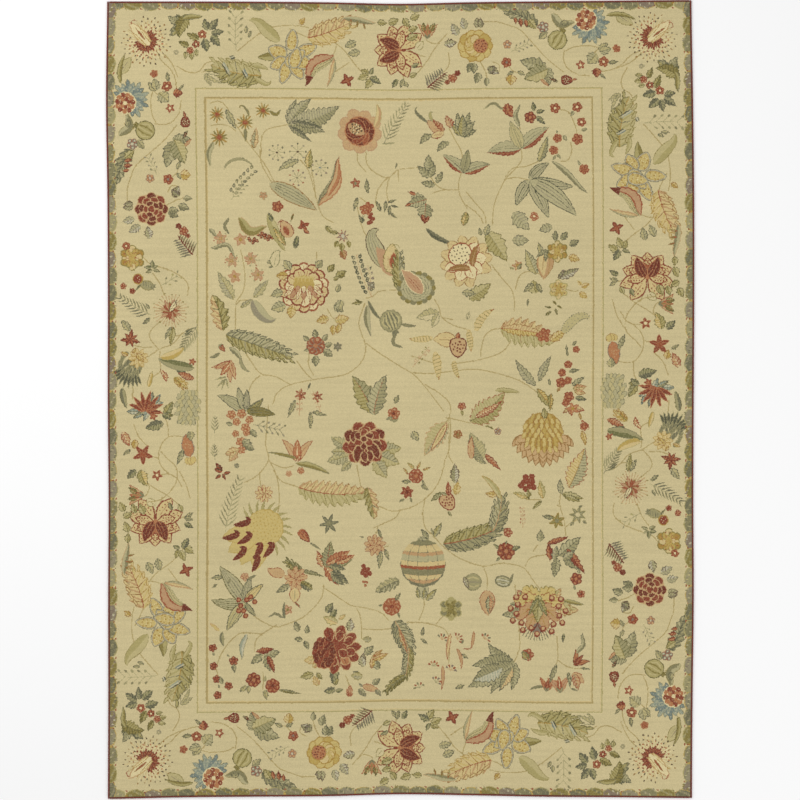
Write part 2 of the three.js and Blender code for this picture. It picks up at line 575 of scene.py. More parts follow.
def fern(
    pen: Pen, size: float, tones: Tones, pairs: int = 8, reach: float = 0.24, spread: float = 48,
    thick: float = 1.5, **shape: float,
) -> None:
    """A stalk with many small strokes on both sides.

    Args:
        pen: stands where it grows from.
        size: its size in chart squares.
        tones: its yarns.
        pairs: how many pairs it has.
        reach: how long its side strokes are, as a share of its length.
        spread: the angle between its parts.
        thick: how thick its strokes are.
        shape: its bend, sway, curl and the like, as for a blade.
    """
    middle = spine(size, steps=2 * pairs + 3, **shape)
    pen.line(middle, 0.55, tones[2], 0.6)
    way = headings(middle)
    for k in range(1, pairs + 1):
        long = size * reach * (1.15 - 0.65 * k / pairs)
        for side, tone in ((-1, tones[0]), (1, tones[1])):
            pen.moved(middle[2 * k], way[2 * k] + side * spread).petal(long, thick * 0.8, tone,
                bend=-20 * side, tip=0.7)


def frond(pen: Pen, size: float, tones: Tones, width: float = 0.12, **shape: float) -> None:
    """A tendril or ribbon leaf that tapers and curls.

    Args:
        pen: stands where it grows from.
        size: its size in chart squares.
        tones: body, shade.
        width: its width as a share of its length.
        shape: its bend, sway, curl and the like, as for a blade.
    """
    middle, left, right = blade(size, size * width, tip=0.7, **shape)
    pen.fill(loop(left, right), tones[1])
    line = 0.5 / abs(pen.turn)
    pen.fill(loop(inside(middle, left, line), inside(middle, right, line)), tones[0])
    if size * width * abs(pen.turn) > 4:
        pen.fill(loop(inside(middle, left, line), middle), pale(tones[0]))


def trio(pen: Pen, size: float, tones: Tones, spread: float = 52, width: float = 0.36) -> None:
    """A leaf of three long points with a coloured turnover.

    Args:
        pen: stands where it grows from.
        size: its size in chart squares.
        tones: body, outline, rib, turnover.
        spread: the angle between its parts.
        width: its width as a share of its length.
    """
    for off in (-1, 1, 0):
        point = pen.moved(0, off * spread)
        long = size * (1.0 if off else 0.85)
        middle, left, right = blade(long, long * width, bend=26 * off, tip=0.9, teeth=6, depth=0.1)
        point.fill(loop(left, right), tones[2])
        inner = [inside(middle, edge, 0.6) for edge in (left, right)]
        point.fill(loop(*inner), pale(tones[0] if off else tones[1]))
        if off:
            outer = right if off > 0 else left
            point.fill(loop(outer, outer + 0.55 * (middle - outer)), tones[3])
            point.line((outer + 0.3 * (middle - outer))[2:-3], 0.5, pale(tones[3]), 0.6)
        for share in (-0.45, 0.3):
            point.line(middle[2:-3] + share * (right - left)[2:-3] * 0.5, 0.5, tones[0], 0.5)
        point.line(middle[:-2], 0.7, tones[2], 0.5)


def ribbon(pen: Pen, size: float, tones: Tones, width: float = 0.3, **shape: float) -> None:
    """A long twisted leaf, one face of each colour.

    Args:
        pen: stands where it grows from.
        size: its size in chart squares.
        tones: face, back, line, tip.
        width: its width as a share of its length.
        shape: its bend, sway, curl and the like, as for a blade.
    """
    middle, left, right = blade(size, size * width * 0.72, teeth=9, depth=0.1, **shape)
    pen.fill(loop(left, right), tones[0])
    pen.fill(loop(inside(middle, left, 0.6), middle), pale(tones[0]))
    pen.fill(loop(right, 0.2 * left + 0.8 * middle), tones[1])
    pen.fill(loop(inside(middle, right, 1.4), middle), pale(tones[1]))
    for share in (0.3, 0.65):
        pen.line((left + share * (middle - left))[2:-3], 0.45, tones[2], 0.5)
    if len(tones) > 3:
        cut = len(middle) * 3 // 4
        pen.fill(loop(left[cut:], right[cut:]), tones[3])


def petal_leaf(pen: Pen, size: float, tones: Tones, width: float = 0.5, **shape: float) -> None:
    """One outlined petal with a dash down its middle.

    Args:
        pen: stands where it grows from.
        size: its size in chart squares.
        tones: body, rim, dash.
        width: its width as a share of its length.
        shape: its bend, sway, curl and the like, as for a blade.
    """
    pen.petal(size, size * width, pale(tones[0]), tones[1], 0.7, tip=0.8, **shape)
    line = spine(size * 0.8, shape.get("bend", 0))
    pen.line(line[3:-2], 0.7, tones[2], 0.5)
    for side in (-1, 1):
        pen.line(line[4:-4] + 0.16j * side * size * width, 0.45, tones[0], 0.5)


def star(
    pen: Pen, size: float, tones: Tones, petals: int = 5, width: float = 0.6, heart: float = 0.13,
    tip: float = 0.7
) -> None:
    """A small open flower.

    Args:
        pen: stands where it grows from.
        size: its size in chart squares.
        tones: petals, their outline, heart.
        petals: how many petals it has.
        width: its width as a share of its length.
        heart: the size of its heart.
        tip: how blunt its petals are.
    """
    for k in range(petals):
        petal = pen.moved(0, 360 * (k + 0.5) / petals)
        petal.petal(size / 2, size * width / 2, tones[0], tones[1], 0.4, tip=tip)
        petal.line([0.12 * size + 0j, 0.34 * size + 0j], 0.6, pale(tones[0]), 0.4)
    pen.dot(0, size * heart, tones[2])


def posy(pen: Pen, size: float, tones: Tones, petals: int = 5) -> None:
    """A small round flower of outlined petals.

    Args:
        pen: stands where it grows from.
        size: its size in chart squares.
        tones: petals, outline, heart.
        petals: how many petals it has.
    """
    turn = pen.at.real * 7 + pen.at.imag * 3
    for k in range(petals):
        here = 0.29 * size * round_way(turn + 360 * k / petals)
        pen.dot(here, 0.25 * size, tones[1])
        pen.dot(1.08 * here, 0.25 * size - 0.55, tones[0])
        pen.dot(1.2 * here, max(0.09 * size, 0.5), pale(tones[0]))
    pen.dot(0, 0.13 * size, tones[2])


def aster(pen: Pen, size: float, tones: Tones, rays: int = 13) -> None:
    """A flower of narrow rays.

    Args:
        pen: stands where it grows from.
        size: its size in chart squares.
        tones: rays, other rays, heart.
        rays: how many rays it has.
    """
    for k in range(rays):
        ray = pen.moved(0, 360 * k / rays + 7)
        ray.petal(size / 2 * (1.0 if k % 2 else 0.88), max(size * 0.09, 1.1), tones[k % 2], tip=0.6,
            swell=1.1)
    for k in range(rays):
        pen.moved(0, 360 * k / rays + 7).line([0j, complex(size * 0.2, 0)], 0.9, tones[2], 0.3)
    pen.dot(0, size * 0.11, tones[2])


def bud(pen: Pen, size: float, tones: Tones, width: float = 0.62, leaves: Tones = SAGE) -> None:
    """A closed bud in its small leaves.

    Args:
        pen: stands where it grows from.
        size: its size in chart squares.
        tones: petals, outline, light.
        width: its width as a share of its length.
        leaves: the yarns of its leaves.
    """
    pen.petal(size, size * width, tones[0], tones[1], 0.6, tip=0.75, swell=0.7)
    middle, left, right = blade(size * 0.9, size * width * 0.8, tip=0.75, swell=0.7)
    pen.fill(loop(right, 0.3 * left + 0.7 * middle), pale(tones[0]))
    for share in (-0.25, 0.12):
        pen.line(middle[3:-2] + 1j * share * size * width, 0.6, tones[1] if share > 0 else tones[2], 0.6)
    for turn in (-48, 0, 48):
        leaf(pen.moved(-0.06 * size, turn), size * 0.46, leaves, 0.34, rib=0.4)


def tulip(pen: Pen, size: float, tones: Tones, leaves: Tones = SAGE) -> None:
    """A flower of three flaring petals.

    Args:
        pen: stands where it grows from.
        size: its size in chart squares.
        tones: petals, outline, light.
        leaves: the yarns of its leaves.
    """
    for side in (-1, 1):
        petal = pen.moved(complex(0, 0.06 * size * side), side * 12)
        petal.petal(size * 0.95, size * 0.3, pale(tones[0]), tones[1], 0.7, bend=44 * side, tip=0.85)
        petal.line(spine(size * 0.7, 34 * side), 0.8, tones[0], 0.5)
    pen.petal(size * 0.8, size * 0.32, tones[0], tones[1], 0.6, tip=0.85)
    pen.line([0.2 * size + 0j, 0.66 * size + 0j], 0.8, tones[2], 0.6)
    for turn in (-30, 30):
        leaf(pen.moved(-0.04 * size, turn), size * 0.34, leaves, 0.4, rib=0.4)


def berries(pen: Pen, size: float, tones: Tones, count: int = 7, high: float = 0.6) -> None:
    """A bunch of small round berries.

    Args:
        pen: stands where it grows from.
        size: its size in chart squares.
        tones: berry, light, stalk.
        count: how many berries it has.
        high: its height as a share of its width.
    """
    pen.line([-0.5 * size + 0j, 0.2 * size + 0j], 0.6, tones[2])
    for k in range(count):
        at = 0.42 * size * math.sqrt((k + 0.4) / count) * round_way(137.5 * k + 23)
        at = complex(at.real, high * at.imag)
        pen.dot(at, 0.15 * size, tones[0])
        pen.dot(at - 0.03 * size, 0.07 * size, pale(tones[1]))


def umbel(pen: Pen, size: float, tones: Tones, rays: int = 9, stalk: str = "sage") -> None:
    """Fine stalks that end in dots all round.

    Args:
        pen: stands where it grows from.
        size: its size in chart squares.
        tones: dots, other dots, middle.
        rays: how many rays it has.
        stalk: the yarn of its stalks.
    """
    for k in range(rays):
        way = round_way(360 * k / rays)
        pen.line([0.1 * size * way, 0.36 * size * way], 0.5, stalk)
        pen.dot(0.45 * size * way, max(0.055 * size, 0.6), tones[k % 2])
    pen.dot(0, 0.07 * size, tones[2])


def sprig(pen: Pen, size: float, tones: Tones, stalks: int = 5, **shape: float) -> None:
    """A fine twig with a bead at the end of each side stalk.

    Args:
        pen: stands where it grows from.
        size: its size in chart squares.
        tones: stalk, bead, other bead.
        stalks: how many stalks it has.
        shape: its bend, sway, curl and the like, as for a blade.
    """
    middle = spine(size, steps=21, **shape)
    pen.line(middle, 0.55, tones[0], 0.7)
    way = headings(middle)
    for k in range(stalks):
        at = min(int(20 * (k + 0.8) / stalks), 20)
        for side in (-1, 1):
            here = pen.moved(middle[at], way[at] + side * 44)
            here.line([0j, complex(size * 0.2, 0)], 0.5, tones[0])
            here.moved(size * 0.2).petal(size * 0.08 + 1.0, size * 0.04 + 0.9,
                tones[1 + (k + (side > 0)) % 2], tip=0.6)


def seeds(pen: Pen, size: float, tones: Tones, pairs: int = 6, **shape: float) -> None:
    """A curved stalk set with separate seeds.

    Args:
        pen: stands where it grows from.
        size: its size in chart squares.
        tones: stalk, seed, other seed.
        pairs: how many pairs it has.
        shape: its bend, sway, curl and the like, as for a blade.
    """
    middle = spine(size, steps=2 * pairs + 3, **shape)
    pen.line(middle, 0.5, tones[0], 0.7)
    way = headings(middle)
    for k in range(1, pairs + 1):
        for side in (-1, 1):
            here = pen.moved(middle[2 * k] + 0.05 * size * round_way(way[2 * k] + 80 * side),
                way[2 * k] + 30 * side)
            here.petal(size * 0.11, size * 0.075, tones[1 + (k + side) // 2 % 2], tip=0.6)
            here.dot(size * 0.04, 0.5, "ivory")


def lotus(pen: Pen, size: float, tones: Tones, petals: int = 9, arc: float = 290) -> None:
    """A large side view of an open flower.

    Args:
        pen: stands where it grows from.
        size: its size in chart squares.
        tones: rim, petal, dots, heart, light.
        petals: how many petals it has.
        arc: the angle that its petals fill.
    """
    rim, petal_yarn, dots, heart, light = tones
    radius = size / 2
    for count, reach, around in ((petals, 1.0, arc), (petals - 2, 0.74, arc * 0.7),
            (petals - 4, 0.5, arc * 0.4)):
        order = sorted(range(count), key=lambda k: abs(k - (count - 1) / 2))
        for k in order:
            turn = around * (k / (count - 1) - 0.5)
            long = radius * reach * (1.04 - 0.1 * math.cos(math.radians(turn)) + (0.06 if k % 2 else 0))
            one = pen.moved(complex(-0.08 * radius, 0), turn)
            one.petal(long, radius * 0.58 * reach, petal_yarn if reach > 0.6 else "salmon", rim, 1.4,
                tip=0.9, swell=1.15)
            one.line([0.3 * long + 0j, 0.86 * long + 0j], 0.6, dots, 0.6)
            for side in (-1, 1):
                for step in range(4):
                    one.dot(complex(long * (0.42 + 0.13 * step),
                        side * radius * 0.1 * reach * (1.2 - 0.2 * step)), 0.75, dots if step % 2 else rim)
    for side in (-1, 1):
        one = pen.moved(complex(-0.1 * radius, 0.05 * radius * side), 42 * side)
        one.petal(radius * 0.86, radius * 0.46, heart, "salmon", 0.8, tip=0.7, bend=-34 * side)
        for share in (-0.06, 0.06):
            one.line(spine(radius * 0.7, -34 * side) + 1j * share * radius, 0.7, light, 0.4)
    pen.stipple(0.3 * radius, radius * 0.22, rim, 12, 0.5)
    pen.dot(-0.12 * radius, 0.08 * radius, light)


def peony(pen: Pen, size: float, tones: Tones, ruffles: int = 9) -> None:
    """A full flower in a collar of soft round petals.

    Args:
        pen: stands where it grows from.
        size: its size in chart squares.
        tones: collar, rim, heart, light, dots.
        ruffles: how many ruffles it has.
    """
    collar, rim, heart, light, dots = tones
    radius = size / 2
    for k in range(ruffles):
        turn = 360 * k / ruffles
        one = pen.moved(radius * (0.66 + 0.05 * (k % 2)) * round_way(turn), turn)
        one.dot(0, radius * 0.31, rim)
        one.dot(-0.4, radius * 0.31 - 0.7, collar)
        for side in (-1, 0, 1):
            one.line([-0.1 * radius + 0j, 0.22 * radius * round_way(34 * side)], 0.7, rim)
    pen.dot(0, 0.67 * radius, light)
    pen.dot(0, 0.62 * radius, heart)
    for turn, side, yarn in ((180, -1, "brick"), (128, 1, heart), (-128, -1, "red"), (70, 1, heart),
            (-70, -1, heart)):
        one = pen.moved(0.42 * radius * round_way(turn), turn + 90 * side)
        one.moved(-0.42 * radius, 0).petal(radius * 0.9, radius * 0.36, yarn, light, 0.8, bend=76 * side,
            tip=0.7)
        one.moved(-0.3 * radius, 0).line(spine(radius * 0.6, 70 * side), 0.7, "brick", 0.4)
    one = pen.moved(-0.24 * radius)
    one.petal(0.82 * radius, 0.56 * radius, "tan", "red", 0.8, tip=0.5, swell=1.1)
    one.stipple(0.44 * radius, 0.26 * radius, dots, 15, 1.0)
    one.stipple(0.4 * radius, 0.22 * radius, "ivory", 9, 0.7)


def rose(pen: Pen, size: float, tones: Tones, rings: tuple[int, ...] = (8, 7, 5, 3),
        high: float = 1.0) -> None:
    """A round double flower of overlapping petals, each outlined.

    Args:
        pen: stands where it grows from.
        size: its size in chart squares.
        tones: petal, other petal, outline.
        rings: how many petals each ring has, from the outside in.
        high: its height as a share of its width.
    """
    radius = size / 2
    pen.dot(0, radius * 0.9, tones[2], high)
    for ring, count in enumerate(rings):
        reach = radius * (0.84 - 0.21 * ring)
        arc = 2 * math.pi / count
        for k in range(count):
            way = np.exp(1j * (arc * (k + 0.37 * ring) + np.linspace(-0.47, 0.47, 5) * arc))
            outer = way * reach * np.array([1.0, 1.13, 1.17, 1.13, 1.0])
            inner = way[::-1] * (reach - 0.24 * radius)
            outline = np.concatenate([outer, inner])
            outline = outline.real + 1j * high * outline.imag
            middle = outline.mean()
            away = outline - middle
            pen.fill(outline, tones[2])
            pen.fill(middle + away * np.clip(1 - 0.75 / np.abs(away), 0, 1), tones[(k + ring) % 2])
    pen.dot(0, radius * 0.14, tones[1], high)


def yellow_rose(pen: Pen, size: float, tones: Tones) -> None:
    """A rose seen aslant: wide outer petals and a dotted heart.

    Args:
        pen: stands where it grows from.
        size: its size in chart squares.
        tones: petal, shade, outline, heart, dots.
    """
    petal, shade, outline, heart, dots = tones
    radius = size / 2
    for k in range(10):
        way = round_way(36 * k)
        pen.dot(0.66 * radius * complex(way.real, 0.9 * way.imag), 0.34 * radius, outline)
        pen.dot(0.64 * radius * complex(way.real, 0.9 * way.imag), 0.34 * radius - 0.7,
            shade if k % 3 == 0 else petal)
    for k in range(7):
        way = round_way(180 + 30 * (k - 3))
        pen.dot(0.36 * radius * complex(way.real, way.imag), 0.3 * radius, outline)
        pen.dot(0.33 * radius * complex(way.real, way.imag), 0.3 * radius - 0.6,
            petal if k % 2 else pale(petal))
    for k in range(5):
        one = pen.moved(complex(-0.2 * radius, 0), 120 + 30 * k)
        one.line(spine(radius * 0.6, 20), 0.6, shade, 0.5)
    pen.dot(0.3 * radius, 0.44 * radius, outline)
    pen.dot(0.3 * radius, 0.4 * radius, heart)
    pen.stipple(0.3 * radius, 0.38 * radius, dots, 20, 0.75)
    pen.stipple(0.34 * radius, 0.3 * radius, "brick", 9, 0.5)


def thistle(pen: Pen, size: float, tones: Tones, width: float = 0.8, rows: int = 5, fringe: int = 9) -> None:
    """A head of overlapping scales with a fringed mouth.

    Args:
        pen: stands where it grows from.
        size: its size in chart squares.
        tones: scale, rim, other scale, fringe.
        width: its width as a share of its length.
        rows: how many rows of scales it has.
        fringe: how many strokes its fringe has.
    """
    scale, rim, other, fringe_yarn = tones
    half = size * width / 2
    for k in range(fringe):
        off = 2 * k / (fringe - 1) - 1
        ray = pen.moved(complex(size * 0.42, half * 0.62 * off), 38 * off)
        ray.petal(size * (0.56 - 0.12 * abs(off)), size * 0.13, fringe_yarn, rim, 0.5, tip=0.8, bend=14 * off)
    for row in range(rows - 1, -1, -1):
        t = row / rows
        wide = half * (0.45 + 0.62 * math.sin(math.pi * min(0.2 + 0.62 * t, 0.9)))
        count = 3 + min(row, 3)
        for k in range(count):
            off = 2 * k / (count - 1) - 1
            one = pen.moved(complex(size * (0.02 + 0.5 * t) - 0.1 * size * off * off, wide * 0.78 * off),
                22 * off)
            one.petal(size * 0.24, wide * 1.7 / count, scale if (k + row) % 2 else other, rim, 0.5, tip=0.65)


def frilled(pen: Pen, size: float, tones: Tones) -> None:
    """A domed flower on a wide frilled collar.

    Args:
        pen: stands where it grows from.
        size: its size in chart squares.
        tones: collar, light, edge, dome, dome line.
    """
    collar, light, edge, dome, line = tones
    radius = size / 2
    for ring, reach in ((0, 1.0), (1, 0.74)):
        for k in range(13):
            turn = -118 + 236 * k / 12 + 9 * ring
            ray = pen.moved(complex(0.12 * radius, 0), turn)
            long = radius * reach * (1.04 if k % 2 else 0.9)
            ray.petal(long, radius * 0.3, light if (k + ring) % 3 else collar, collar if ring else edge,
                0.55, tip=0.5, teeth=3, depth=0.2)
            ray.line([0.5 * long + 0j, 0.95 * long + 0j], 0.6, collar, 0.5)
            ray.dot(0.8 * long, 0.5, "pearl")
    pen.dot(-0.16 * radius, 0.56 * radius, "ivory")
    for k in range(11):
        here = -0.18 * radius + 0.4 * radius * round_way(360 * k / 11)
        pen.dot(here, 0.13 * radius, line if k % 2 else dome)
    for k in range(7):
        here = -0.18 * radius + 0.2 * radius * round_way(360 * k / 7 + 20)
        pen.dot(here, 0.11 * radius, dome if k % 2 else line)
    pen.stipple(-0.18 * radius, 0.5 * radius, "ivory", 19, 0.42)


def passion(pen: Pen, size: float, tones: Tones) -> None:
    """A corner blossom: a pale hooked cup in a ring of red petals and a halo of dark-tipped stamens.

    Args:
        pen: stands where it grows from.
        size: its size in chart squares.
        tones: cup, cup line, petal, other petal, stamen tips.
    """
    cup, line, petal, other, tips = tones
    radius = size / 2
    for k in range(58):
        one = pen.moved(0, -156 + 312 * k / 57)
        long = radius * (0.66 + 0.36 * ((k * 7) % 5) / 4)
        one.line([complex(0.4 * radius, 0), complex(long, 0)], 0.7, "ivory" if k % 2 else "sand")
        one.moved(long).petal(2.2, 1.3, tips if k % 3 else "ochre", tip=0.6)
    for k in range(26):
        one = pen.moved(0, -140 + 280 * k / 25)
        one.dot(radius * (0.62 + 0.1 * (k % 2)), 0.9, other if k % 2 else petal)
        one.dot(radius * 0.66, 0.5, "ivory")
    for k in range(19):
        one = pen.moved(complex(-0.02 * radius, 0), -124 + 248 * k / 18)
        one.petal(radius * (0.58 if k % 2 else 0.5), radius * 0.16, petal if k % 2 else "maroon", tip=0.6)
        one.line([0.2 * radius + 0j, 0.42 * radius + 0j], 0.5, other)
    back = pen.moved(complex(0.24 * radius, 0), 180)
    back.petal(radius * 1.38, radius * 0.52, cup, "tan", 0.9, tip=0.75, swell=0.72)
    for side in (-1, 1):
        for share in (0.1, 0.17):
            back.line(spine(radius * 1.06, 14 * side) + complex(0.08, share * side) * radius, 0.7,
                "straw" if share > 0.1 else "gold", 0.6)
    back.moved(complex(0.3 * radius, 0), 4).petal(radius * 0.72, radius * 0.1, "brick", "ochre", 0.4, tip=0.8)
    back.moved(complex(radius * 1.22, 0), 20).line(spine(radius * 0.44, 190), 1.0, line, 0.5)


def globe(pen: Pen, size: float, tones: Tones, bands: int = 5, high: float = 1.0, crown: str = "") -> None:
    """A round fruit striped along its length.

    Args:
        pen: stands where it grows from.
        size: its size in chart squares.
        tones: skin, stripe, outline, light.
        bands: how many stripes it has.
        high: its height as a share of its width.
        crown: the yarn of its crown, if it has one.
    """
    radius = size / 2
    pen.dot(0, radius, tones[2], high)
    pen.dot(0, radius - 0.9, tones[0], high)
    for k in range(bands):
        off = (2 * (k + 0.5) / bands - 1) * 0.9
        half = 0.8 * radius * math.sqrt(1 - off * off)
        end = 0.55 * high * radius * off
        arch = [complex(-half, end), complex(0, high * radius * off * 0.9), complex(half, end)]
        pen.curve(arch, 1.3, tones[1] if k % 2 else pale(tones[0]))
    if crown:
        for turn in (-40, 0, 40):
            pen.moved(0.9 * radius, turn).petal(0.5 * radius, 0.3 * radius, crown, tones[2], 0.5)


def paisley(pen: Pen, size: float, tones: Tones, side: int = 1) -> None:
    """A hooked drop with a red seed-shaped middle.

    Args:
        pen: stands where it grows from.
        size: its size in chart squares.
        tones: body, rim, heart, light.
        side: 1 where it hooks clockwise, -1 otherwise.
    """
    body, rim, heart, light = tones
    pen.petal(size, size * 0.66, pale(body), rim, 0.8, tip=0.7, swell=0.62, bend=40 * side, teeth=9,
        depth=0.08)
    for k in range(7):
        pen.moved(0.1 * size + 0.05 * size * k, -60 + 9 * k).line([0.06 * size + 0j, 0.24 * size + 0j], 0.5,
            body)
    middle = pen.moved(0.1 * size, 14 * side)
    middle.petal(size * 0.58, size * 0.34, heart, light, 0.8, tip=0.85, swell=0.8, bend=16 * side)
    middle.line(spine(size * 0.5, 16 * side), 0.7, "red" if heart != "red" else "maroon", 0.4)
    tail = spine(size, 40 * side)
    pen.moved(tail[-3], 50 * side).line(spine(size * 0.34, 160 * side), 1.0, rim, 0.5)


def grapes(pen: Pen, size: float, tones: Tones) -> None:
    """Two lobed leaves hung with ringed berries over a fringe.

    Args:
        pen: stands where it grows from.
        size: its size in chart squares.
        tones: leaf, vein, berry, light, fringe.
    """
    body, vein, berry, light, fringe = tones
    for k in range(13):
        off = 2 * k / 12 - 1
        ray = pen.moved(complex(0.36 * size - 0.08 * size * off * off, 0.2 * size * off), 42 * off)
        ray.line([0j, complex(0.16 * size, 0)], 0.7, fringe)
    for side in (-1, 1):
        for start, turn, long in ((-0.26, 118, 0.34), (-0.22, 86, 0.46), (-0.16, 52, 0.5), (-0.1, 22, 0.46)):
            one = pen.moved(start * size + 0j, turn * side)
            one.petal(long * size, 0.24 * size, "straw" if turn > 60 else "tan",
                "olive" if turn > 100 else "brick", 0.9, tip=0.6, teeth=3, depth=0.3)
            one.line([0.1 * size + 0j, long * 0.85 * size + 0j], 0.9, "gold", 0.5)
            for flank in (-1, 1):
                one.moved(long * 0.4 * size, 34 * flank).line([0j, complex(0.12 * size, 0)], 0.7, "gold")
    leaf(pen.moved(-0.3 * size, 0), 0.52 * size, (body, vein, vein), 0.4)
    for flank in (-28, 28):
        leaf(pen.moved(-0.24 * size, flank), 0.36 * size, (vein, "green", "green"), 0.3)
    pen.dot(0.3 * size, 0.1 * size, "mauve", 0.8)
    for k in range(19):
        turn = -142 + 284 * k / 18
        at = size * (0.47 if k % 2 else 0.37) * round_way(turn)
        at = complex(at.real * 0.85, 1.05 * at.imag)
        pen.dot(at, 0.058 * size, berry)
        pen.dot(at - 0.012 * size, 0.03 * size, light)
    for k in (-1, 1):
        pen.moved(0.2 * size, 16 * k).line(spine(0.26 * size, 40 * k), 1.2, "maroon", 0.6)


def frill_lotus(pen: Pen, size: float, tones: Tones) -> None:
    """A wide scalloped blossom with a golden middle.

    Args:
        pen: stands where it grows from.
        size: its size in chart squares.
        tones: rim, petal, heart, gold, shade.
    """
    rim, petal, heart, gold, shade = tones
    radius = size / 2
    for ring, reach, count in ((0, 0.78, 14), (1, 0.56, 11)):
        for k in range(count):
            turn = 360 * (k + 0.4 * ring) / count
            one = pen.moved(radius * reach * round_way(turn), turn)
            one.dot(0, 0.25 * radius, rim if (k + ring) % 3 else heart)
            one.dot(-0.04 * radius, 0.25 * radius - 0.85, "ivory" if (k + ring) % 3 == 0 else "sand")
            one.line([complex(-0.1 * radius, 0), complex(0.12 * radius, 0)], 0.6, shade)
            one.line([complex(-0.1 * radius, 0.06 * radius), complex(0.08 * radius, 0.1 * radius)], 0.5,
                petal)
    pen.dot(0.1 * radius, 0.4 * radius, gold, 1.1)
    for k in range(5):
        here = complex(0.34 * radius, (k - 2) * 0.15 * radius)
        pen.dot(here, 0.12 * radius, "straw")
        pen.dot(here - 1, 0.08 * radius, gold)
    for ring, reach in ((0, 0.5), (1, 0.3)):
        for k in range(7 - 2 * ring):
            off = 2 * k / (6 - 2 * ring) - 1
            one = pen.moved(complex(-0.02 * radius + 0.1 * ring * radius, 0.4 * radius * off),
                180 + 50 * -off)
            one.petal(radius * reach, radius * 0.2, petal if k % 2 else "ivory", heart if k % 2 else rim,
                0.6, tip=0.6)
            one.line([0.1 * radius + 0j, reach * 0.8 * radius + 0j], 0.6, shade)


def burst(pen: Pen, size: float, tones: Tones) -> None:
    """A spiky flower of many fine rays about a pale slotted middle.

    Args:
        pen: stands where it grows from.
        size: its size in chart squares.
        tones: ray, long ray, tips, cup, line.
    """
    ray_yarn, long_yarn, tips, cup, line = tones
    radius = size / 2
    for k in range(30):
        one = pen.moved(0, 12 * k)
        long = radius * (0.8 + 0.2 * ((k * 5) % 4) / 3)
        one.line([0.3 * radius + 0j, complex(long, 0)], 0.6, long_yarn)
        one.dot(long, 0.65, tips if k % 2 else long_yarn)
    for k in range(15):
        one = pen.moved(0, 24 * k)
        one.petal(radius * (0.7 if k % 2 else 0.52), radius * 0.2, pale(ray_yarn) if k % 2 else ray_yarn,
            "red" if k % 3 else "olive", 0.4, tip=0.7)
    one = pen.moved(0.05 * radius, 180)
    one.petal(radius * 0.75, radius * 0.28, cup, line, 0.6, tip=0.8)
    one.line([0.12 * radius + 0j, 0.6 * radius + 0j], 0.5, line)


def dart_thistle(pen: Pen, size: float, tones: Tones) -> None:
    """A pale thistle in a ring of hairs, with dark darts on its petals.

    Args:
        pen: stands where it grows from.
        size: its size in chart squares.
        tones: body, shade, dart, hair.
    """
    body, shade, dart, hair = tones
    for k in range(13):
        one = pen.moved(0.34 * size * round_way(180 + 16 * (k - 6)), 180 + 16 * (k - 6))
        one.moved(-0.06 * size).petal(0.3 * size, 0.05 * size, hair, "olive", 0.3, bend=30 if k % 2 else 44)
    for off in (-40, -14, 14, 40):
        one = pen.moved(0.16 * size * round_way(off), 0.7 * off)
        one.petal(0.6 * size, 0.34 * size, body, shade, 0.8, tip=0.7, bend=0.3 * off)
    pen.dot(-0.06 * size, 0.35 * size, shade)
    pen.dot(-0.05 * size, 0.35 * size - 0.7, body)
    pen.stipple(-0.1 * size, 0.3 * size, shade, 60, 0.75)
    for x, y, turn in (
        (0.14, -0.3, -10), (0.3, -0.14, -20), (0.3, 0.1, 10), (0.14, 0.28, 30), (0.5, -0.26, -24),
        (0.56, 0.0, 0), (0.46, 0.26, 30)
    ):
        one = pen.moved(complex(x - 0.12, y) * size, turn - 20)
        one.petal(0.36 * size, 0.12 * size, dart, "red", 0.5, tip=0.7, bend=40)
        one.moved(0.02 * size, 70).petal(0.12 * size, 0.06 * size, dart, tip=0.8)
        one.line(spine(0.2 * size, 40), 0.5, "brick", 0.5)


def artichoke(pen: Pen, size: float, tones: Tones) -> None:
    """A golden dome of looped scales in pointed, outlined petals.

    Args:
        pen: stands where it grows from.
        size: its size in chart squares.
        tones: scales, petal, rim.
    """
    shade, petal, rim = tones
    for row, count, reach in ((0, 11, 0.42), (1, 9, 0.34), (2, 7, 0.25)):
        for k in sorted(range(count), key=lambda k: -abs(k - (count - 1) / 2)):
            off = 2 * k / (count - 1) - 1
            start = complex(0.16 - 0.16 * off * off, 0.3 * off) * size
            one = pen.moved(start, 72 * off)
            one.petal(size * reach * (1 - 0.2 * abs(off)), size * 0.17, petal, rim, 1.0, tip=0.9, swell=0.95,
                bend=-34 * off)
            one.line(spine(size * reach * 0.6, -22 * off), 0.6, "tan", 0.5)
    for k in range(12):
        off = 2 * k / 11 - 1
        one = pen.moved(complex(-0.3 + 0.16 * off * off, 0.3 * off) * size, 180 - 66 * off)
        one.line(spine(0.13 * size, 30 * off), 0.9, shade, 0.4)
    pen.dot(complex(-0.1 * size, 0), 0.36 * size, shade, 1.04)
    for row in range(8):
        x = -0.42 + 0.085 * row
        half = 0.37 * math.sqrt(max(1 - ((x + 0.1) / 0.38) ** 2, 0.05))
        count = max(3, round(half / 0.05))
        for k in range(count):
            off = (k + 0.5 + 0.25 * (-1) ** row) / count * 2 - 1
            one = pen.moved(complex(x, half * off * 0.92) * size, 30 * off)
            one.petal(0.14 * size, 0.085 * size, "straw" if (row + k) % 3 else "yellow",
                "ochre" if (row + k) % 2 else shade, 0.65, tip=0.6)


def slash(pen: Pen, size: float, tones: Tones) -> None:
    """A slanting fleck of three narrow strokes, side by side."""
    for k, tone in enumerate(tones):
        pen.moved(complex(0.05 * size * k - 0.5 * size, 1.2 * (k - 1))).petal(size, 1.4, tone, tip=0.6)


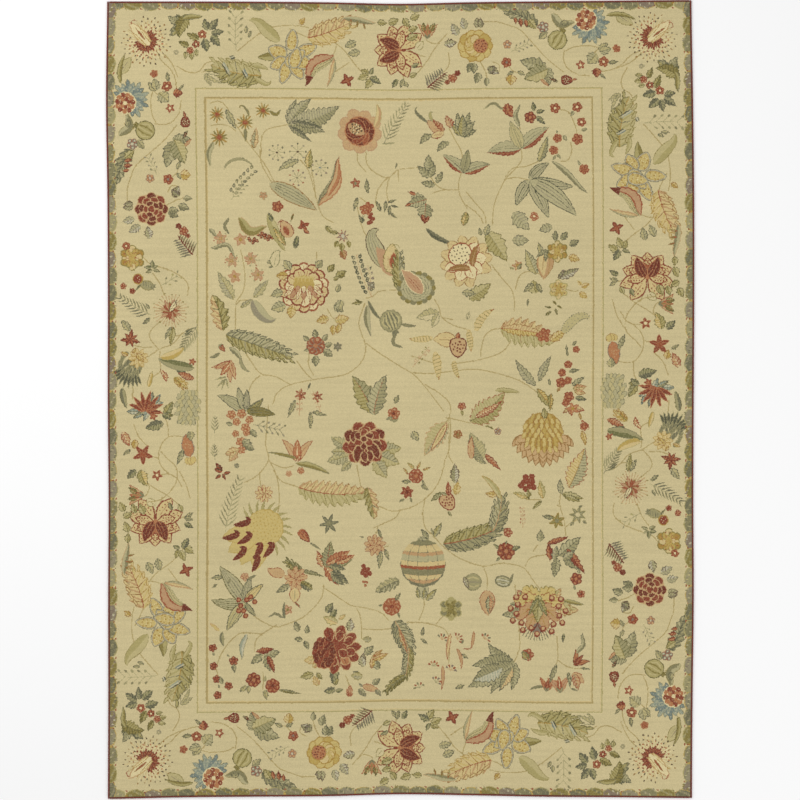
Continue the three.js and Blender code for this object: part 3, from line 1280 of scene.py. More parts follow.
def gilt(pen: Pen, size: float, tones: Tones) -> None:
    """A lotus of gilded petals, each in two outlines.

    Args:
        pen: stands where it grows from.
        size: its size in chart squares.
        tones: outer outline, inner outline, petal, dots.
    """
    outer, inner, petal, dots = tones

    def cup(place: complex, turn: float, long: float, wide: float) -> None:
        """One petal in its outlines, seeded with dots.

        Args:
            place: where it grows from.
            turn: its heading.
            long: its length.
            wide: its width.
        """
        one = pen.moved(place * size, turn)
        one.petal(size * long, size * wide, outer, "slate", 0.35, tip=0.6)
        one.moved(0.9).petal(size * long - 1.9, size * wide - 1.9, inner, tip=0.62)
        one.moved(1.5).petal(size * long - 3.2, size * wide - 3.2, petal, "ochre", 0.45, tip=0.62)
        for k in range(9):
            off = (k % 3 - 1) * 0.11 * size * wide / 0.5
            one.dot(complex((0.24 + 0.19 * (k // 3)) * size * long + 0.04 * size * (k % 2), off), 0.85, dots)
            one.dot(complex((0.3 + 0.19 * (k // 3)) * size * long, 0.6 * off), 0.5, "ivory")

    for turn, long, wide, start in (
        (-24, 0.84, 0.48, 0.24), (35, 0.84, 0.5, 0.26), (-96, 0.78, 0.58, 0.12), (-148, 0.72, 0.52, 0.12),
        (168, 0.92, 0.5, 0.12), (120, 0.82, 0.5, 0.12), (80, 0.82, 0.56, 0.12),
    ):
        cup(start * round_way(turn), turn, long, wide)
    cup(-0.34 + 0.02j, 20, 0.92, 0.56)
    cup(-0.3 + 0.3j, -18, 0.82, 0.5)


def comb(pen: Pen, size: float, tones: Tones) -> None:
    """A fan of narrow leaflets about a red rib.

    Args:
        pen: stands where it grows from.
        size: its size in chart squares.
        tones: leaflet, other leaflet, rib.
    """
    for k in range(8):
        for side, tone in ((-1, tones[0]), (1, tones[1])):
            one = pen.moved(complex(size * (0.04 + 0.11 * k), 0), 56 * side)
            one.petal(size * (0.52 - 0.035 * k), size * 0.075, tone, bend=16 * side)
            one.line([0j, complex(size * (0.34 - 0.025 * k), 0)], 0.9, tones[2] if side > 0 else "mauve", 0.5)
    pen.line(spine(size, 10), 1.5, tones[2], 0.5)


def acorn(pen: Pen, size: float, tones: Tones) -> None:
    """A rosy nut in a golden cap.

    Args:
        pen: stands where it grows from.
        size: its size in chart squares.
        tones: nut, shade, outline, cap.
    """
    pen.petal(size * 0.9, size * 0.5, tones[0], tones[2], 0.8, swell=0.8, tip=0.7)
    pen.stipple(size * 0.45, size * 0.16, tones[1], 8, 0.7)
    for k in (-1, 0, 1):
        pen.moved(complex(0, 0.16 * size * k), 180 + 20 * k).petal(size * 0.34, size * 0.24, pale(tones[3]),
            "ochre", 0.5)


def cone(pen: Pen, size: float, tones: Tones) -> None:
    """A broad scaly leaf like a fir cone.

    Args:
        pen: stands where it grows from.
        size: its size in chart squares.
        tones: scale, other scale, outline.
    """
    for row in range(7, -1, -1):
        t = row / 8
        wide = size * 0.23 * math.sin(math.pi * (0.18 + 0.72 * t)) ** 0.8
        for k in range(5):
            off = (k - 2 + 0.5 * (row % 2)) / 2.2
            one = pen.moved(complex(size * 0.86 * t, wide * off), 34 * off)
            one.petal(size * 0.19, size * 0.13, pale(tones[(k + row) % 2]), tones[1 + row % 2], 0.45, tip=0.6)


def spread(pen: Pen, size: float, tones: Tones, petals: int = 7, arc: float = 150) -> None:
    """Long petals spread like a hand.

    Args:
        pen: stands where it grows from.
        size: its size in chart squares.
        tones: petal, edge, heart.
        petals: how many petals it has.
        arc: the angle that its petals fill.
    """
    for k in sorted(range(petals), key=lambda k: -abs(k - (petals - 1) / 2)):
        off = 2 * k / (petals - 1) - 1
        one = pen.moved(0, off * arc / 2)
        one.petal(size * (1 - 0.16 * abs(off)) * 0.9, size * 0.22, tones[0], tones[1], 0.6, tip=0.8,
            bend=14 * off)
        one.line([0.2 * size + 0j, 0.66 * size + 0j], 0.9, tones[2], 0.5)
        one.line([0.2 * size + 0.04j * size, 0.6 * size + 0.05j * size], 0.5, pale(tones[0]), 0.5)


def rosette(pen: Pen, size: float, tones: Tones) -> None:
    """A flower of curled petals with a dotted middle.

    Args:
        pen: stands where it grows from.
        size: its size in chart squares.
        tones: petal, outline, light.
    """
    for ring, count, long in ((0, 9, 0.52), (1, 6, 0.34)):
        for k in range(count):
            one = pen.moved(0, 360 * (k + 0.4 * ring) / count)
            one.petal(size * long, size * (0.24 - 0.03 * ring), pale(tones[0]), tones[1], 0.55, tip=0.55,
                swell=1.2, bend=24)
            one.line([0.1 * size + 0j, (long - 0.12) * size + 0j], 0.5, tones[0])
    pen.stipple(0, size * 0.13, tones[1], 6, 0.5)
    pen.stipple(0, size * 0.08, tones[2], 3, 0.5)


def star_flower(pen: Pen, size: float, tones: Tones, petals: int = 7) -> None:
    """A flower of long pointed petals.

    Args:
        pen: stands where it grows from.
        size: its size in chart squares.
        tones: petal, shade, light.
        petals: how many petals it has.
    """
    for k in range(petals):
        leaf(pen.moved(0, 360 * k / petals), size * (1.0 if k % 2 else 0.8), (tones[0], tones[1], tones[2]),
            0.4)


def bird_bud(pen: Pen, size: float, tones: Tones) -> None:
    """A plump hooded bud with a red fruit at its mouth.

    Args:
        pen: stands where it grows from.
        size: its size in chart squares.
        tones: hood, shade, fruit, edge.
    """
    hood, shade, fruit_yarn, edge = tones
    pen.moved(-0.4 * size, -6).petal(size * 0.7, size * 0.44, pale(hood), shade, 0.7, tip=0.6)
    for k in range(4):
        pen.moved(complex(-0.26 + 0.12 * k, 0) * size,
            70).line([complex(-0.12 * size, 0), complex(0.1 * size, 0)], 0.5, hood)
    for turn in (-40, 0, 40):
        leaf(pen.moved(-0.3 * size, 180 + turn), size * 0.24, (shade, hood, "sage"), 0.4)
    pen.dot(complex(0.4 * size, 0.1 * size), 0.25 * size, edge)
    pen.dot(complex(0.41 * size, 0.1 * size), 0.2 * size, fruit_yarn)
    pen.stipple(complex(0.4 * size, 0.1 * size), 0.14 * size, "ivory", 5, 0.4)
    leaf(pen.moved(complex(0.2 * size, -0.1 * size), -70), size * 0.36, (edge, shade, hood), 0.26)


def cluster(pen: Pen, size: float, tones: Tones) -> None:
    """A lobed head of small round petals, dotted all over.

    Args:
        pen: stands where it grows from.
        size: its size in chart squares.
        tones: petal, other petal, dots, edge.
    """
    for k in range(12):
        here = size * (0.36 if k % 2 else 0.26) * round_way(30 * k)
        pen.dot(here, 0.15 * size, tones[3])
        pen.dot(here * 0.94, 0.15 * size - 0.6, tones[k % 2] if k % 3 else pale(tones[0]))
        pen.line([0.4 * here, here], 0.5, tones[2])
    pen.dot(0, 0.15 * size, tones[0])
    pen.stipple(0, 0.38 * size, tones[2], 15, 0.5)


def dotted(pen: Pen, size: float, tones: Tones, width: float = 0.3, **shape: float) -> None:
    """A scalloped ribbon set with dots.

    Args:
        pen: stands where it grows from.
        size: its size in chart squares.
        tones: body, edge, dots.
        width: its width as a share of its length.
        shape: its bend, sway, curl and the like, as for a blade.
    """
    middle, left, right = blade(size, size * width, tip=0.5, **shape)
    for side in (left, right):
        for k in range(1, len(side) - 1):
            pen.dot(side[k], 0.8, tones[1])
    pen.fill(loop(left, right), pale(tones[0]))
    for k in range(2, len(middle) - 1):
        pen.dot(middle[k] + (left[k] - middle[k]) * (0.5 if k % 2 else -0.3), 0.55, tones[2])


def scallop(pen: Pen, size: float, tones: Tones) -> None:
    """A round leaf with a scalloped edge and rows of fine scales.

    Args:
        pen: stands where it grows from.
        size: its size in chart squares.
        tones: body, shade, edge.
    """
    for k in range(18):
        way = round_way(20 * k)
        pen.dot(0.43 * size * complex(way.real, 0.86 * way.imag), 0.09 * size, tones[0 if k % 2 else 1])
    pen.dot(0, 0.42 * size, pale(tones[0]), 0.86)
    for ring in (0.2, 0.27, 0.34, 0.41):
        for k in range(18):
            turn = 20 * (k + ring * 7)
            way = ring * size * round_way(turn)
            pen.moved(complex(way.real, 0.86 * way.imag), turn + 90).line(spine(0.09 * size, 50), 0.55,
                tones[0 if k % 3 else 2])


def banded(pen: Pen, size: float, tones: Tones, width: float = 0.26, **shape: float) -> None:
    """A narrow leaf crossed by short bars.

    Args:
        pen: stands where it grows from.
        size: its size in chart squares.
        tones: body, bar, tip.
        width: its width as a share of its length.
        shape: its bend, sway, curl and the like, as for a blade.
    """
    middle, left, right = blade(size, size * width, tip=0.7, teeth=6, depth=0.1, **shape)
    pen.fill(loop(left, right), tones[0])
    pen.fill(loop(inside(middle, left, 0.5), inside(middle, right, 0.5)), pale(tones[0]))
    for k in range(3, len(middle) - 3, 3):
        pen.line([left[k], right[k + 1]], 0.6, tones[1])
    pen.line(middle[-4:], 1.0, tones[2], 0.4)


def fruit(pen: Pen, size: float, tones: Tones) -> None:
    """A strawberry set with seeds.

    Args:
        pen: stands where it grows from.
        size: its size in chart squares.
        tones: flesh, outline, seeds.
    """
    start = pen.moved(-0.5 * size)
    start.petal(size, size * 0.84, tones[1], tones[1], 0.8, swell=0.7, tip=0.5)
    start.moved(0.05 * size).petal(0.88 * size, size * 0.84 - 2.4, tones[0], swell=0.7, tip=0.5)
    start.stipple(0.48 * size, 0.3 * size, tones[1], 13, 0.95)
    start.stipple(0.48 * size, 0.3 * size, tones[2], 13, 0.42)


def dark_peony(pen: Pen, size: float, tones: Tones) -> None:
    """A full dark flower: rows of broad outlined petals, two deep cheeks below, and a knot at its heart.

    Args:
        pen: stands where it grows from.
        size: its size in chart squares.
        tones: deep petal, petal outline, light outline, outer petal.
    """
    deep_yarn, outline, light, outer = tones
    radius = size / 2
    for count, reach, wide, shift in ((9, 1.0, 0.66, 0.2), (7, 0.76, 0.62, 0.7)):
        for k in range(count):
            one = pen.moved(0, 360 * (k + shift) / count)
            one.petal(radius * reach, radius * wide, outer if (k + count) % 3 else deep_yarn, outline, 1.35,
                tip=0.5, swell=1.5)
            for side in (-1, 0, 1):
                one.moved(0.3 * radius).line(spine(radius * (reach - 0.46),
                    12 * side) + 0.07j * radius * side, 0.7, deep_yarn, 0.5)
    for side in (-1, 1):
        for start, turn, long, wide in ((0.05, 58, 0.86, 0.5), (0.34, 30, 0.52, 0.36)):
            one = pen.moved(complex(start, 0.06 * side) * radius, turn * side)
            one.petal(radius * long, radius * wide, deep_yarn, light, 1.25, tip=0.6, bend=-58 * side)
            one.line(spine(radius * long * 0.75, -50 * side), 0.6, outer, 0.5)
    for k in range(6):
        one = pen.moved(-0.2 * radius, 60 * k + 12)
        one.petal(radius * 0.46, radius * 0.38, outer if k % 2 else deep_yarn, light, 1.15, tip=0.5,
            swell=1.2)
    pen.dot(-0.2 * radius, 0.17 * radius, light)
    pen.dot(-0.2 * radius, 0.12 * radius, deep_yarn)


def foot_peony(pen: Pen, size: float, tones: Tones) -> None:
    """A full flower in two parts: small dark scales on one side, large outlined petals on the other.

    Args:
        pen: stands where it grows from.
        size: its size in chart squares.
        tones: petal, outline, scale, deep.
    """
    petal, outline, scale, deep_yarn = tones
    radius = size / 2
    pen.dot(0, 0.74 * radius, petal)
    for turn, reach, wide in (
        (-160, 0.5, 0.42), (-120, 0.6, 0.46), (-82, 0.62, 0.46), (-44, 0.6, 0.42), (-12, 0.62, 0.4),
        (20, 0.6, 0.44), (54, 0.58, 0.44),
        (92, 0.62, 0.42), (128, 0.56, 0.4), (160, 0.5, 0.4),
    ):
        one = pen.moved(0.38 * radius * round_way(turn), turn + 10)
        one.petal(radius * reach, radius * wide, petal, outline, 0.95, tip=0.55, swell=1.3)
        for side in (-1, 1):
            one.moved(0.14 * radius).line(spine(radius * 0.34, 16 * side), 1.0, deep_yarn, 0.5)
    for turn, reach in ((-84, 0.34), (-40, 0.36), (4, 0.34), (46, 0.34), (96, 0.26), (150, 0.1), (20, 0.08)):
        one = pen.moved(reach * radius * round_way(turn), turn + 16)
        one.petal(radius * 0.44, radius * 0.38, scale if turn % 4 else petal, outline, 0.95, tip=0.55,
            swell=1.2)
        one.moved(0.08 * radius).line(spine(radius * 0.28, 10), 1.1, deep_yarn, 0.5)
    for row in range(7):
        half = 0.46 * math.sqrt(max(1 - ((row - 3) / 3.6) ** 2, 0))
        count = max(2, round(half / 0.1))
        for k in range(count):
            place = complex(-0.5 + half * (2 * (k + 0.5) / count - 1) * 0.95,
                -0.36 + 0.16 * row + 0.03 * (k % 2)) * radius
            one = pen.moved(place, 60 + 25 * (k % 3))
            one.dot(0, 0.15 * radius, scale)
            one.dot(-0.5, 0.15 * radius - 0.55, deep_yarn if (row + k) % 3 else petal)


def twiglet(pen: Pen, size: float, tones: Tones) -> None:
    """Small dark flecks that spread from the end of a fine stalk.

    Args:
        pen: stands where it grows from.
        size: its size in chart squares.
        tones: fleck, other fleck, stalk.
    """
    for k in range(5):
        one = pen.moved(0, -70 + 35 * k)
        one.line([0j, complex(0.4 * size, 0)], 0.5, tones[2])
        one.moved(0.3 * size).petal(0.3 * size, 0.17 * size, tones[k % 2], tip=0.6)
        one.dot(0.6 * size, 0.5, "ivory")


def dot_flower(pen: Pen, size: float, tones: Tones) -> None:
    """A berry ringed in a second yarn."""
    pen.dot(0, size * 0.5, tones[0])
    pen.dot(0, size * 0.24, tones[1])


def gourd(pen: Pen, size: float, tones: Tones) -> None:
    """A round gourd with plain bands across it and a small crown.

    Args:
        pen: stands where it grows from.
        size: its size in chart squares.
        tones: four band yarns.
    """
    radius = size / 2
    for turn in (-70, -35, 0, 35, 70):
        pen.moved(-0.84 * radius, 180 + 0.6 * turn).petal(radius * 0.34, radius * 0.2, pale(tones[0]),
            tones[3], 0.5)
    pen.moved(0.8 * radius, 0).petal(radius * 0.7, radius * 0.5, "sage_pale", tones[3], 0.6, tip=0.9)
    pen.dot(0, radius, tones[3], 0.96)
    across = np.linspace(-1, 1, 13)
    bands = (0.1, 0.14, 0.07, 0.13, 0.1, 0.07, 0.14, 0.1, 0.08, 0.07)
    edge = -1.0
    for k, share in enumerate(bands):
        start, edge = edge, edge + 2 * share
        lines = []
        for place in (start, edge):
            place = min(max(place, -0.985), 0.985)
            half = math.sqrt(1 - place * place) * 0.96
            high = (place - 0.1 * across**2 + 0.05 * (1 - place * place)) * radius * 0.95
            lines.append(high + 1j * across * half * radius * 0.97)
        band = (tones[0], "sand", tones[1], pale(tones[0]), "sand", tones[2], tones[0], "sand", tones[1],
            tones[0])[k]
        pen.fill(loop(*lines), band)
        pen.line(lines[1][1:-1], 0.5, tones[3] if k % 2 else tones[1])
    for side in (-0.62, -0.22, 0.22, 0.62):
        rib = [complex(radius * x, radius * side * math.sqrt(1 - x * x)) for x in (-0.9, -0.5, 0, 0.5, 0.9)]
        pen.curve(rib, 0.4, tones[3])


def ochre_bloom(pen: Pen, size: float, tones: Tones) -> None:
    """A wide blossom of nested petals with a seeded heart.

    Args:
        pen: stands where it grows from.
        size: its size in chart squares.
        tones: petal, outline, shade, seeds, light.
    """
    petal, outline, shade, seeds_yarn, light = tones
    radius = size / 2
    for k in range(11):
        turn = -150 + 30 * k
        one = pen.moved(0.5 * radius * round_way(turn), turn)
        one.moved(-0.3 * radius).petal(radius * 0.76, radius * 0.5, pale(petal), shade, 0.8, tip=0.55,
            teeth=4, depth=0.1)
        one.line([0.1 * radius + 0j, 0.36 * radius + 0j], 0.6, petal, 0.6)
    for turn, long, wide in ((-118, 0.66, 0.5), (118, 0.66, 0.5), (-70, 0.72, 0.46), (70, 0.7, 0.46),
            (165, 0.6, 0.5), (-165, 0.6, 0.46)):
        one = pen.moved(0.08 * radius * round_way(turn), turn)
        one.petal(radius * long, radius * wide, "ivory", outline, 0.9, tip=0.6, swell=1.1)
        one.line([0.2 * radius + 0j, 0.5 * radius + 0j], 0.6, light, 0.6)
        one.line([0.2 * radius + 0.06j * radius, 0.46 * radius + 0.1j * radius], 0.5, petal, 0.6)
    pen.dot(0.34 * radius, 0.4 * radius, outline, 1.15)
    pen.dot(0.34 * radius, 0.36 * radius, "ivory", 1.15)
    pen.stipple(0.34 * radius, 0.36 * radius, seeds_yarn, 24, 0.72)
    for side in (-1, 1):
        one = pen.moved(complex(-0.3 * radius, 0.05 * radius * side), 34 * side)
        one.petal(radius * 0.84, radius * 0.26, "ochre", outline, 0.7, tip=0.7, bend=40 * side)
        one.line(spine(radius * 0.7, 40 * side), 0.8, "tan", 0.5)


LAPPET_YARNS = ("slate", "sage_dark", "sage", "olive", "mauve", "grey", "sage_dark", "olive", "slate", "grey")


def lappets(pen: Pen, length: float, offset: float) -> None:
    """A row of worn half-round lappets with darts and specks between them, along the outer edge.

    Args:
        pen: a pen at the start of the side, with the outer edge on its left.
        length: the side's length.
        offset: where the first one stands, as a share of the pitch.
    """
    count = round(length / 17.6)
    pitch = length / count
    for k in range(count):
        middle = (k + offset + 0.06 * math.sin(5 * k)) * pitch
        tone = LAPPET_YARNS[(3 * k + 2 * (k // 4)) % len(LAPPET_YARNS)]
        shade = LAPPET_YARNS[(7 * k + 5) % len(LAPPET_YARNS)]
        half = 0.47 * pitch
        high = 8.0 + 0.5 * (k % 3)
        outline = [
            complex(middle - half, 1.4), complex(middle - half * 0.96, 0.62 * high),
            complex(middle - half * 0.5, 0.9 * high),
            complex(middle, high), complex(middle + half * 0.5, 0.9 * high),
            complex(middle + half * 0.96, 0.62 * high),
            complex(middle + half, 1.4),
        ]
        pen.fill(smooth([middle + (p - middle) * 1.09 if p.imag > 2 else p for p in outline]),
            "olive_pale" if k % 3 else "yellow")
        pen.fill(smooth(outline), tone)
        for n in range(9):
            at = complex(middle + half * (((5 * n + 3 * k) % 9) / 4.5 - 0.95) * 0.8,
                2.0 + (high - 3.6) * ((4 * n + k) % 7) / 6)
            pen.moved(at, 80 + 9 * (n % 3)).petal(2.6, 1.3, shade if n % 3 else pale(tone), tip=0.6)
        gap = middle + 0.5 * pitch
        pen.fill(np.array([complex(gap - 1.8, 1.2), complex(gap + 1.8, 1.2), complex(gap, 6.2)]),
            "gold" if k % 2 else "yellow")
        if k % 3:
            pen.moved(complex(gap - 1.4, 7.4), 20).petal(3.0, 1.3, "brick", tip=0.7)
            pen.dot(complex(gap, 4.8), 0.8, "olive" if k % 3 == 1 else "red")
        else:
            pen.dot(complex(gap - 1.0, 5.8), 0.8, "red")
            pen.dot(complex(gap + 1.0, 7.4), 0.7, "olive_dark")


Spots = tuple[tuple[float, float], ...]


def at(motif: Motif, x: float, y: float, heading: float, size: float, tones: Tones = (), **options) -> Placed:
    """A motif that stands at a place."""
    return Placed(motif, x, y, heading, size, tones, options)


def to(motif: Motif, x: float, y: float, tip_x: float, tip_y: float, tones: Tones = (), **options) -> Placed:
    """A motif that grows from one place to another.

    Args:
        motif: what it is.
        x: how far across its foot stands.
        y: how far down its foot stands.
        tip_x: how far across its tip stands.
        tip_y: how far down its tip stands.
        tones: its yarns.
        options: more sizes of the motif.

    Returns:
        The motif in its place.
    """
    way = complex(tip_x - x, tip_y - y)
    turn = math.degrees(math.atan2(way.imag, way.real))
    bend = options.get("bend", 0) + options.get("curl", 0) * 0.3
    return Placed(motif, x, y, turn - 0.5 * bend, abs(way) * (1 + abs(bend) / 400), tones, options)


def leaves(tones: Tones, *spans: tuple[float, float, float, float], width: float = 0.46,
        **options) -> tuple[Placed, ...]:
    """Leaves of one kind, each from its stalk to its tip."""
    return tuple(to(leaf, *span, tones, width=width, **options) for span in spans)


BORDER_START_VINES: tuple[Spots, ...] = (
    ((163, 53), (170, 60), (175, 68), (179, 78)),
    ((178, 67), (190, 73), (200, 72), (207, 64), (218, 61)),
    ((203, 73), (212, 70), (222, 73)),
    ((238, 52), (250, 42), (262, 33), (272, 28), (285, 26), (298, 26), (310, 28)),
    ((290, 29), (300, 34), (309, 38)),
    ((333, 41), (337, 43), (336, 50), (333, 57)),
    ((335, 42), (345, 50), (355, 63), (363, 72)),
    ((332, 74), (340, 69), (350, 62)),
    ((407, 47), (418, 53), (426, 56)),
    ((418, 72), (428, 60), (434, 50), (441, 41), (448, 33)),
    ((427, 35), (428, 40), (437, 43), (443, 38)),
    ((399, 60), (403, 71), (405, 82)),
    ((449, 52), (450, 62), (446, 70), (436, 76)),
    ((363, 72), (371, 77), (376, 80)),
)

BORDER_START: tuple[Placed, ...] = (
    at(passion, 147, 42, 48, 46, ("ivory", "brick", "red", "salmon", "umber")),
    to(leaf, 184, 24, 169, 17, SLATE, width=0.5, bend=30),
    to(leaf, 184, 24, 177, 15, GREEN, width=0.6),
    to(leaf, 184, 26, 170, 32, LICHEN, width=0.5),
    to(leaf, 184, 26, 172, 37, ("olive", "slate", "olive_pale"), width=0.5, bend=-30),
    to(leaf, 190, 16, 181, 37, MOSS, width=0.48, bend=-60),
    to(frond, 183, 20, 202, 17, ("olive", "slate"), width=0.26, bend=60, curl=-60),
    *leaves(GREEN, (208, 31, 205, 19), (212, 36, 221, 47), (205, 39, 208, 53), width=0.56, teeth=3),
    *leaves(("slate", "slate_dark", "sage"), (210, 31, 219, 19), (212, 34, 225, 32), width=0.5, teeth=3),
    *leaves(MOSS, (200, 40, 187, 34), (190, 47, 179, 42), width=0.5),
    *leaves(OLIVE, (192, 52, 193, 61), (197, 50, 198, 57), (187, 52, 186, 60), width=0.6),
    at(posy, 203, 35, 0, 8.5, BRIGHT),
    at(posy, 197, 45, 0, 7.5, ("red", "maroon", "ivory")),
    at(posy, 191, 51, 0, 7, CORAL),
    at(posy, 177, 53, 0, 5, ("sage", "grey", "cream")),
    at(sprig, 237, 51, -96, 34, ("sage", "sage_dark", "sage"), stalks=5, bend=10),
    *leaves(SAGE, (247, 34, 247, 26), (249, 38, 252, 31), width=0.5),
    to(plume, 262, 76, 214, 66, ("olive", "olive_pale", "gold", "slate"), width=0.5, pairs=6, bend=24),
    to(frond, 252, 66, 268, 70, OLIVE, width=0.3, bend=40),
    to(frond, 255, 77, 273, 80, ("olive_pale", "olive"), width=0.24, bend=-30, curl=-120),
    at(slash, 227, 69, 58, 15, ("blue_pale", "pearl", "slate_dark")),
    at(slash, 246, 74, 62, 10, ("blue", "pearl", "slate_dark")),
    at(slash, 233, 58, -20, 5, ("slate", "pearl", "slate_dark")),
    *leaves(("cream", "sage", "sage_dark"), (206, 74, 213, 87), (208, 75, 223, 84), width=0.4,
        rim="sage_dark"),
    to(frond, 281, 42, 249, 20, OLIVE, width=0.32, bend=20, curl=-70),
    to(frond, 284, 60, 260, 58, MOSS, width=0.34, bend=-50, curl=30),
    at(gilt, 291, 58, -60, 27, ("grey", "pearl", "straw", "gold")),
    to(leaf, 300, 25, 306, 18, GOLD, width=0.6),
    to(plume, 309, 38, 350, 22, ("tan", "straw", "brick", "ochre"), width=0.5, pairs=6, bend=-20),
    to(frond, 344, 18, 376, 22, ("sage_dark", "tan"), width=0.2, bend=24, curl=-30),
    *leaves(("tan", "olive_pale", "brick"), (352, 19, 350, 28), (358, 20, 358, 28), (364, 22, 366, 29),
        width=0.3),
    to(ribbon, 335, 55, 305, 88, ("sage", "brick", "umber", "maroon"), width=0.44, bend=-10, sway=26),
    to(ribbon, 335, 58, 328, 86, ("sage_dark", "tan", "sage"), width=0.26, bend=24),
    *leaves(SAGE, (357, 41, 345, 47), (361, 51, 348, 54), width=0.56),
    at(star, 348, 80, 20, 15, MADDER, petals=4),
    *leaves(OLIVE, (370, 73, 361, 69), (369, 74, 358, 79), (373, 78, 366, 88), width=0.6),
    *leaves(GREEN, (371, 76, 382, 83), (371, 74, 374, 66), width=0.5),
    at(lotus, 397, 49, 180, 52, ("red", "sand", "brick", "maroon", "salmon"), petals=9, arc=290),
    *leaves(OLIVE, (378, 21, 388, 22), (389, 22, 400, 18), (404, 17, 410, 26), (411, 18, 421, 13),
        width=0.62),
    *leaves(OLIVE, (409, 29, 419, 26), (408, 38, 419, 33), (410, 76, 418, 72), width=0.62),
    *leaves(GREEN, (412, 66, 420, 62), (398, 78, 393, 87), width=0.5),
    *leaves(SAGE, (404, 80, 409, 87), (404, 78, 401, 87), width=0.5),
    to(petal_leaf, 417, 48, 424, 40, ("cream", "olive", "olive"), width=0.8),
    at(tulip, 428, 37, -88, 18, ("salmon", "brick", "olive")),
    *leaves(("olive", "olive_dark", "brick"), (430, 31, 436, 22), (425, 31, 424, 21), width=0.5),
)

BORDER_END_VINES: tuple[Spots, ...] = (
    ((485, 22), (497, 22), (507, 25), (520, 30), (530, 40), (545, 57), (555, 66), (564, 73)),
    ((480, 61), (485, 70), (488, 80)),
    ((509, 66), (514, 72), (521, 73)),
    ((565, 50), (564, 60), (567, 68), (573, 73), (580, 76), (590, 77)),
    ((566, 52), (575, 48), (590, 47), (603, 50)),
    ((594, 56), (598, 51), (604, 50)),
    ((599, 73), (612, 71), (622, 66), (631, 57), (642, 52)),
    ((560, 30), (561, 24), (566, 20)),
    ((500, 72), (500, 66), (493, 62)),
)

BORDER_END: tuple[Placed, ...] = (
    *leaves(("mauve", "grey", "sage"), (459, 35, 452, 23), (466, 29, 463, 17), width=0.6),
    *leaves(("sage_dark", "mauve", "sage"), (478, 28, 478, 17), (482, 28, 481, 18), (445, 44, 458, 42),
        width=0.6),
    *leaves(SLATE, (473, 63, 468, 73), (475, 63, 474, 74), (480, 73, 476, 84), (487, 78, 487, 87),
        width=0.66),
    *leaves(("slate", "mauve", "sage"), (488, 68, 500, 74), (489, 74, 496, 66), width=0.6),
    at(posy, 508, 45, 0, 8.5, ("salmon", "mauve", "pearl")),
    at(posy, 507, 63, 0, 10, ("red", "brick", "mauve")),
    at(sprig, 512, 52, -25, 18, ("sage", "sage_dark", "grey"), stalks=4),
    to(leaf, 512, 75, 511, 86, GOLD, width=0.9),
    *leaves(SAGE, (514, 72, 507, 76), (518, 72, 526, 76), width=0.5),
    *leaves(SLATE, (547, 69, 520, 61), (549, 68, 549, 87), width=0.5, teeth=4),
    to(leaf, 548, 70, 524, 80, ("olive_pale", "green", "olive"), width=0.62, teeth=4),
    to(frond, 541, 80, 549, 87, ("tan", "brick"), width=0.3),
    to(leaf, 558, 83, 549, 78, ("red", "umber", "sage"), width=0.3),
    at(fruit, 567, 81, 0, 12, ("red", "maroon", "ivory")),
    to(leaf, 572, 81, 578, 80, RED, width=0.5),
    to(feather, 538, 26, 505, 12, ("sage_dark", "slate", "slate_dark"), width=0.34, teeth=7, bend=-26),
    to(leaf, 529, 20, 537, 30, OLIVE, width=0.6),
    *leaves(RED, (516, 18, 517, 25), (521, 19, 522, 28), (526, 20, 528, 28), width=0.5),
    at(posy, 544, 28, 0, 11, ("mauve", "brick", "pearl")),
    to(leaf, 548, 33, 539, 40, SAGE, width=0.6),
    at(globe, 558, 41, -60, 20, ("olive_pale", "olive", "olive_dark", "gold"), crown="olive"),
    to(frond, 552, 15, 579, 25, ("sage_dark", "olive"), width=0.3, sway=40),
    to(leaf, 561, 24, 571, 24, SAGE, width=0.5),
    at(frilled, 589, 24, 52, 40, ("blue", "blue_pale", "slate", "salmon", "red")),
    to(petal_leaf, 617, 15, 634, 27, ("sage", "olive", "mauve"), width=0.56),
    to(frond, 607, 17, 634, 21, ("olive", "olive_dark"), width=0.16, bend=50),
    *leaves(SAGE, (600, 53, 608, 44), (600, 53, 612, 50), width=0.7),
    to(leaf, 597, 55, 588, 65, ("sage", "sage_dark", "olive"), width=0.9),
    at(star, 581, 66, 10, 10, ("brick", "red", "ivory"), petals=5),
    at(posy, 604, 63, 0, 10, BRIGHT),
    to(leaf, 597, 69, 597, 79, RED, width=0.9),
    at(posy, 617, 50, 0, 8, ("red", "salmon", "brick")),
    *leaves(SAGE, (609, 64, 619, 63), (600, 75, 606, 80), width=0.4),
    at(comb, 428, 87, -42, 25, ("slate", "sage_dark", "maroon")),
    at(posy, 453, 78, 20, 9, CORAL),
    at(posy, 458, 73, 0, 6, ("maroon", "maroon", "red")),
    at(posy, 448, 82, 0, 5, ("red", "maroon", "red")),
)

SHORT_ROSE: tuple[Placed, ...] = (at(yellow_rose, 476, 46, 0, 36, ("straw", "yellow", "gold", "salmon",
    "maroon")),)
LONG_ROSE: tuple[Placed, ...] = (at(rose, 476, 46, 0, 35, ("maroon", "red", "shell")),)

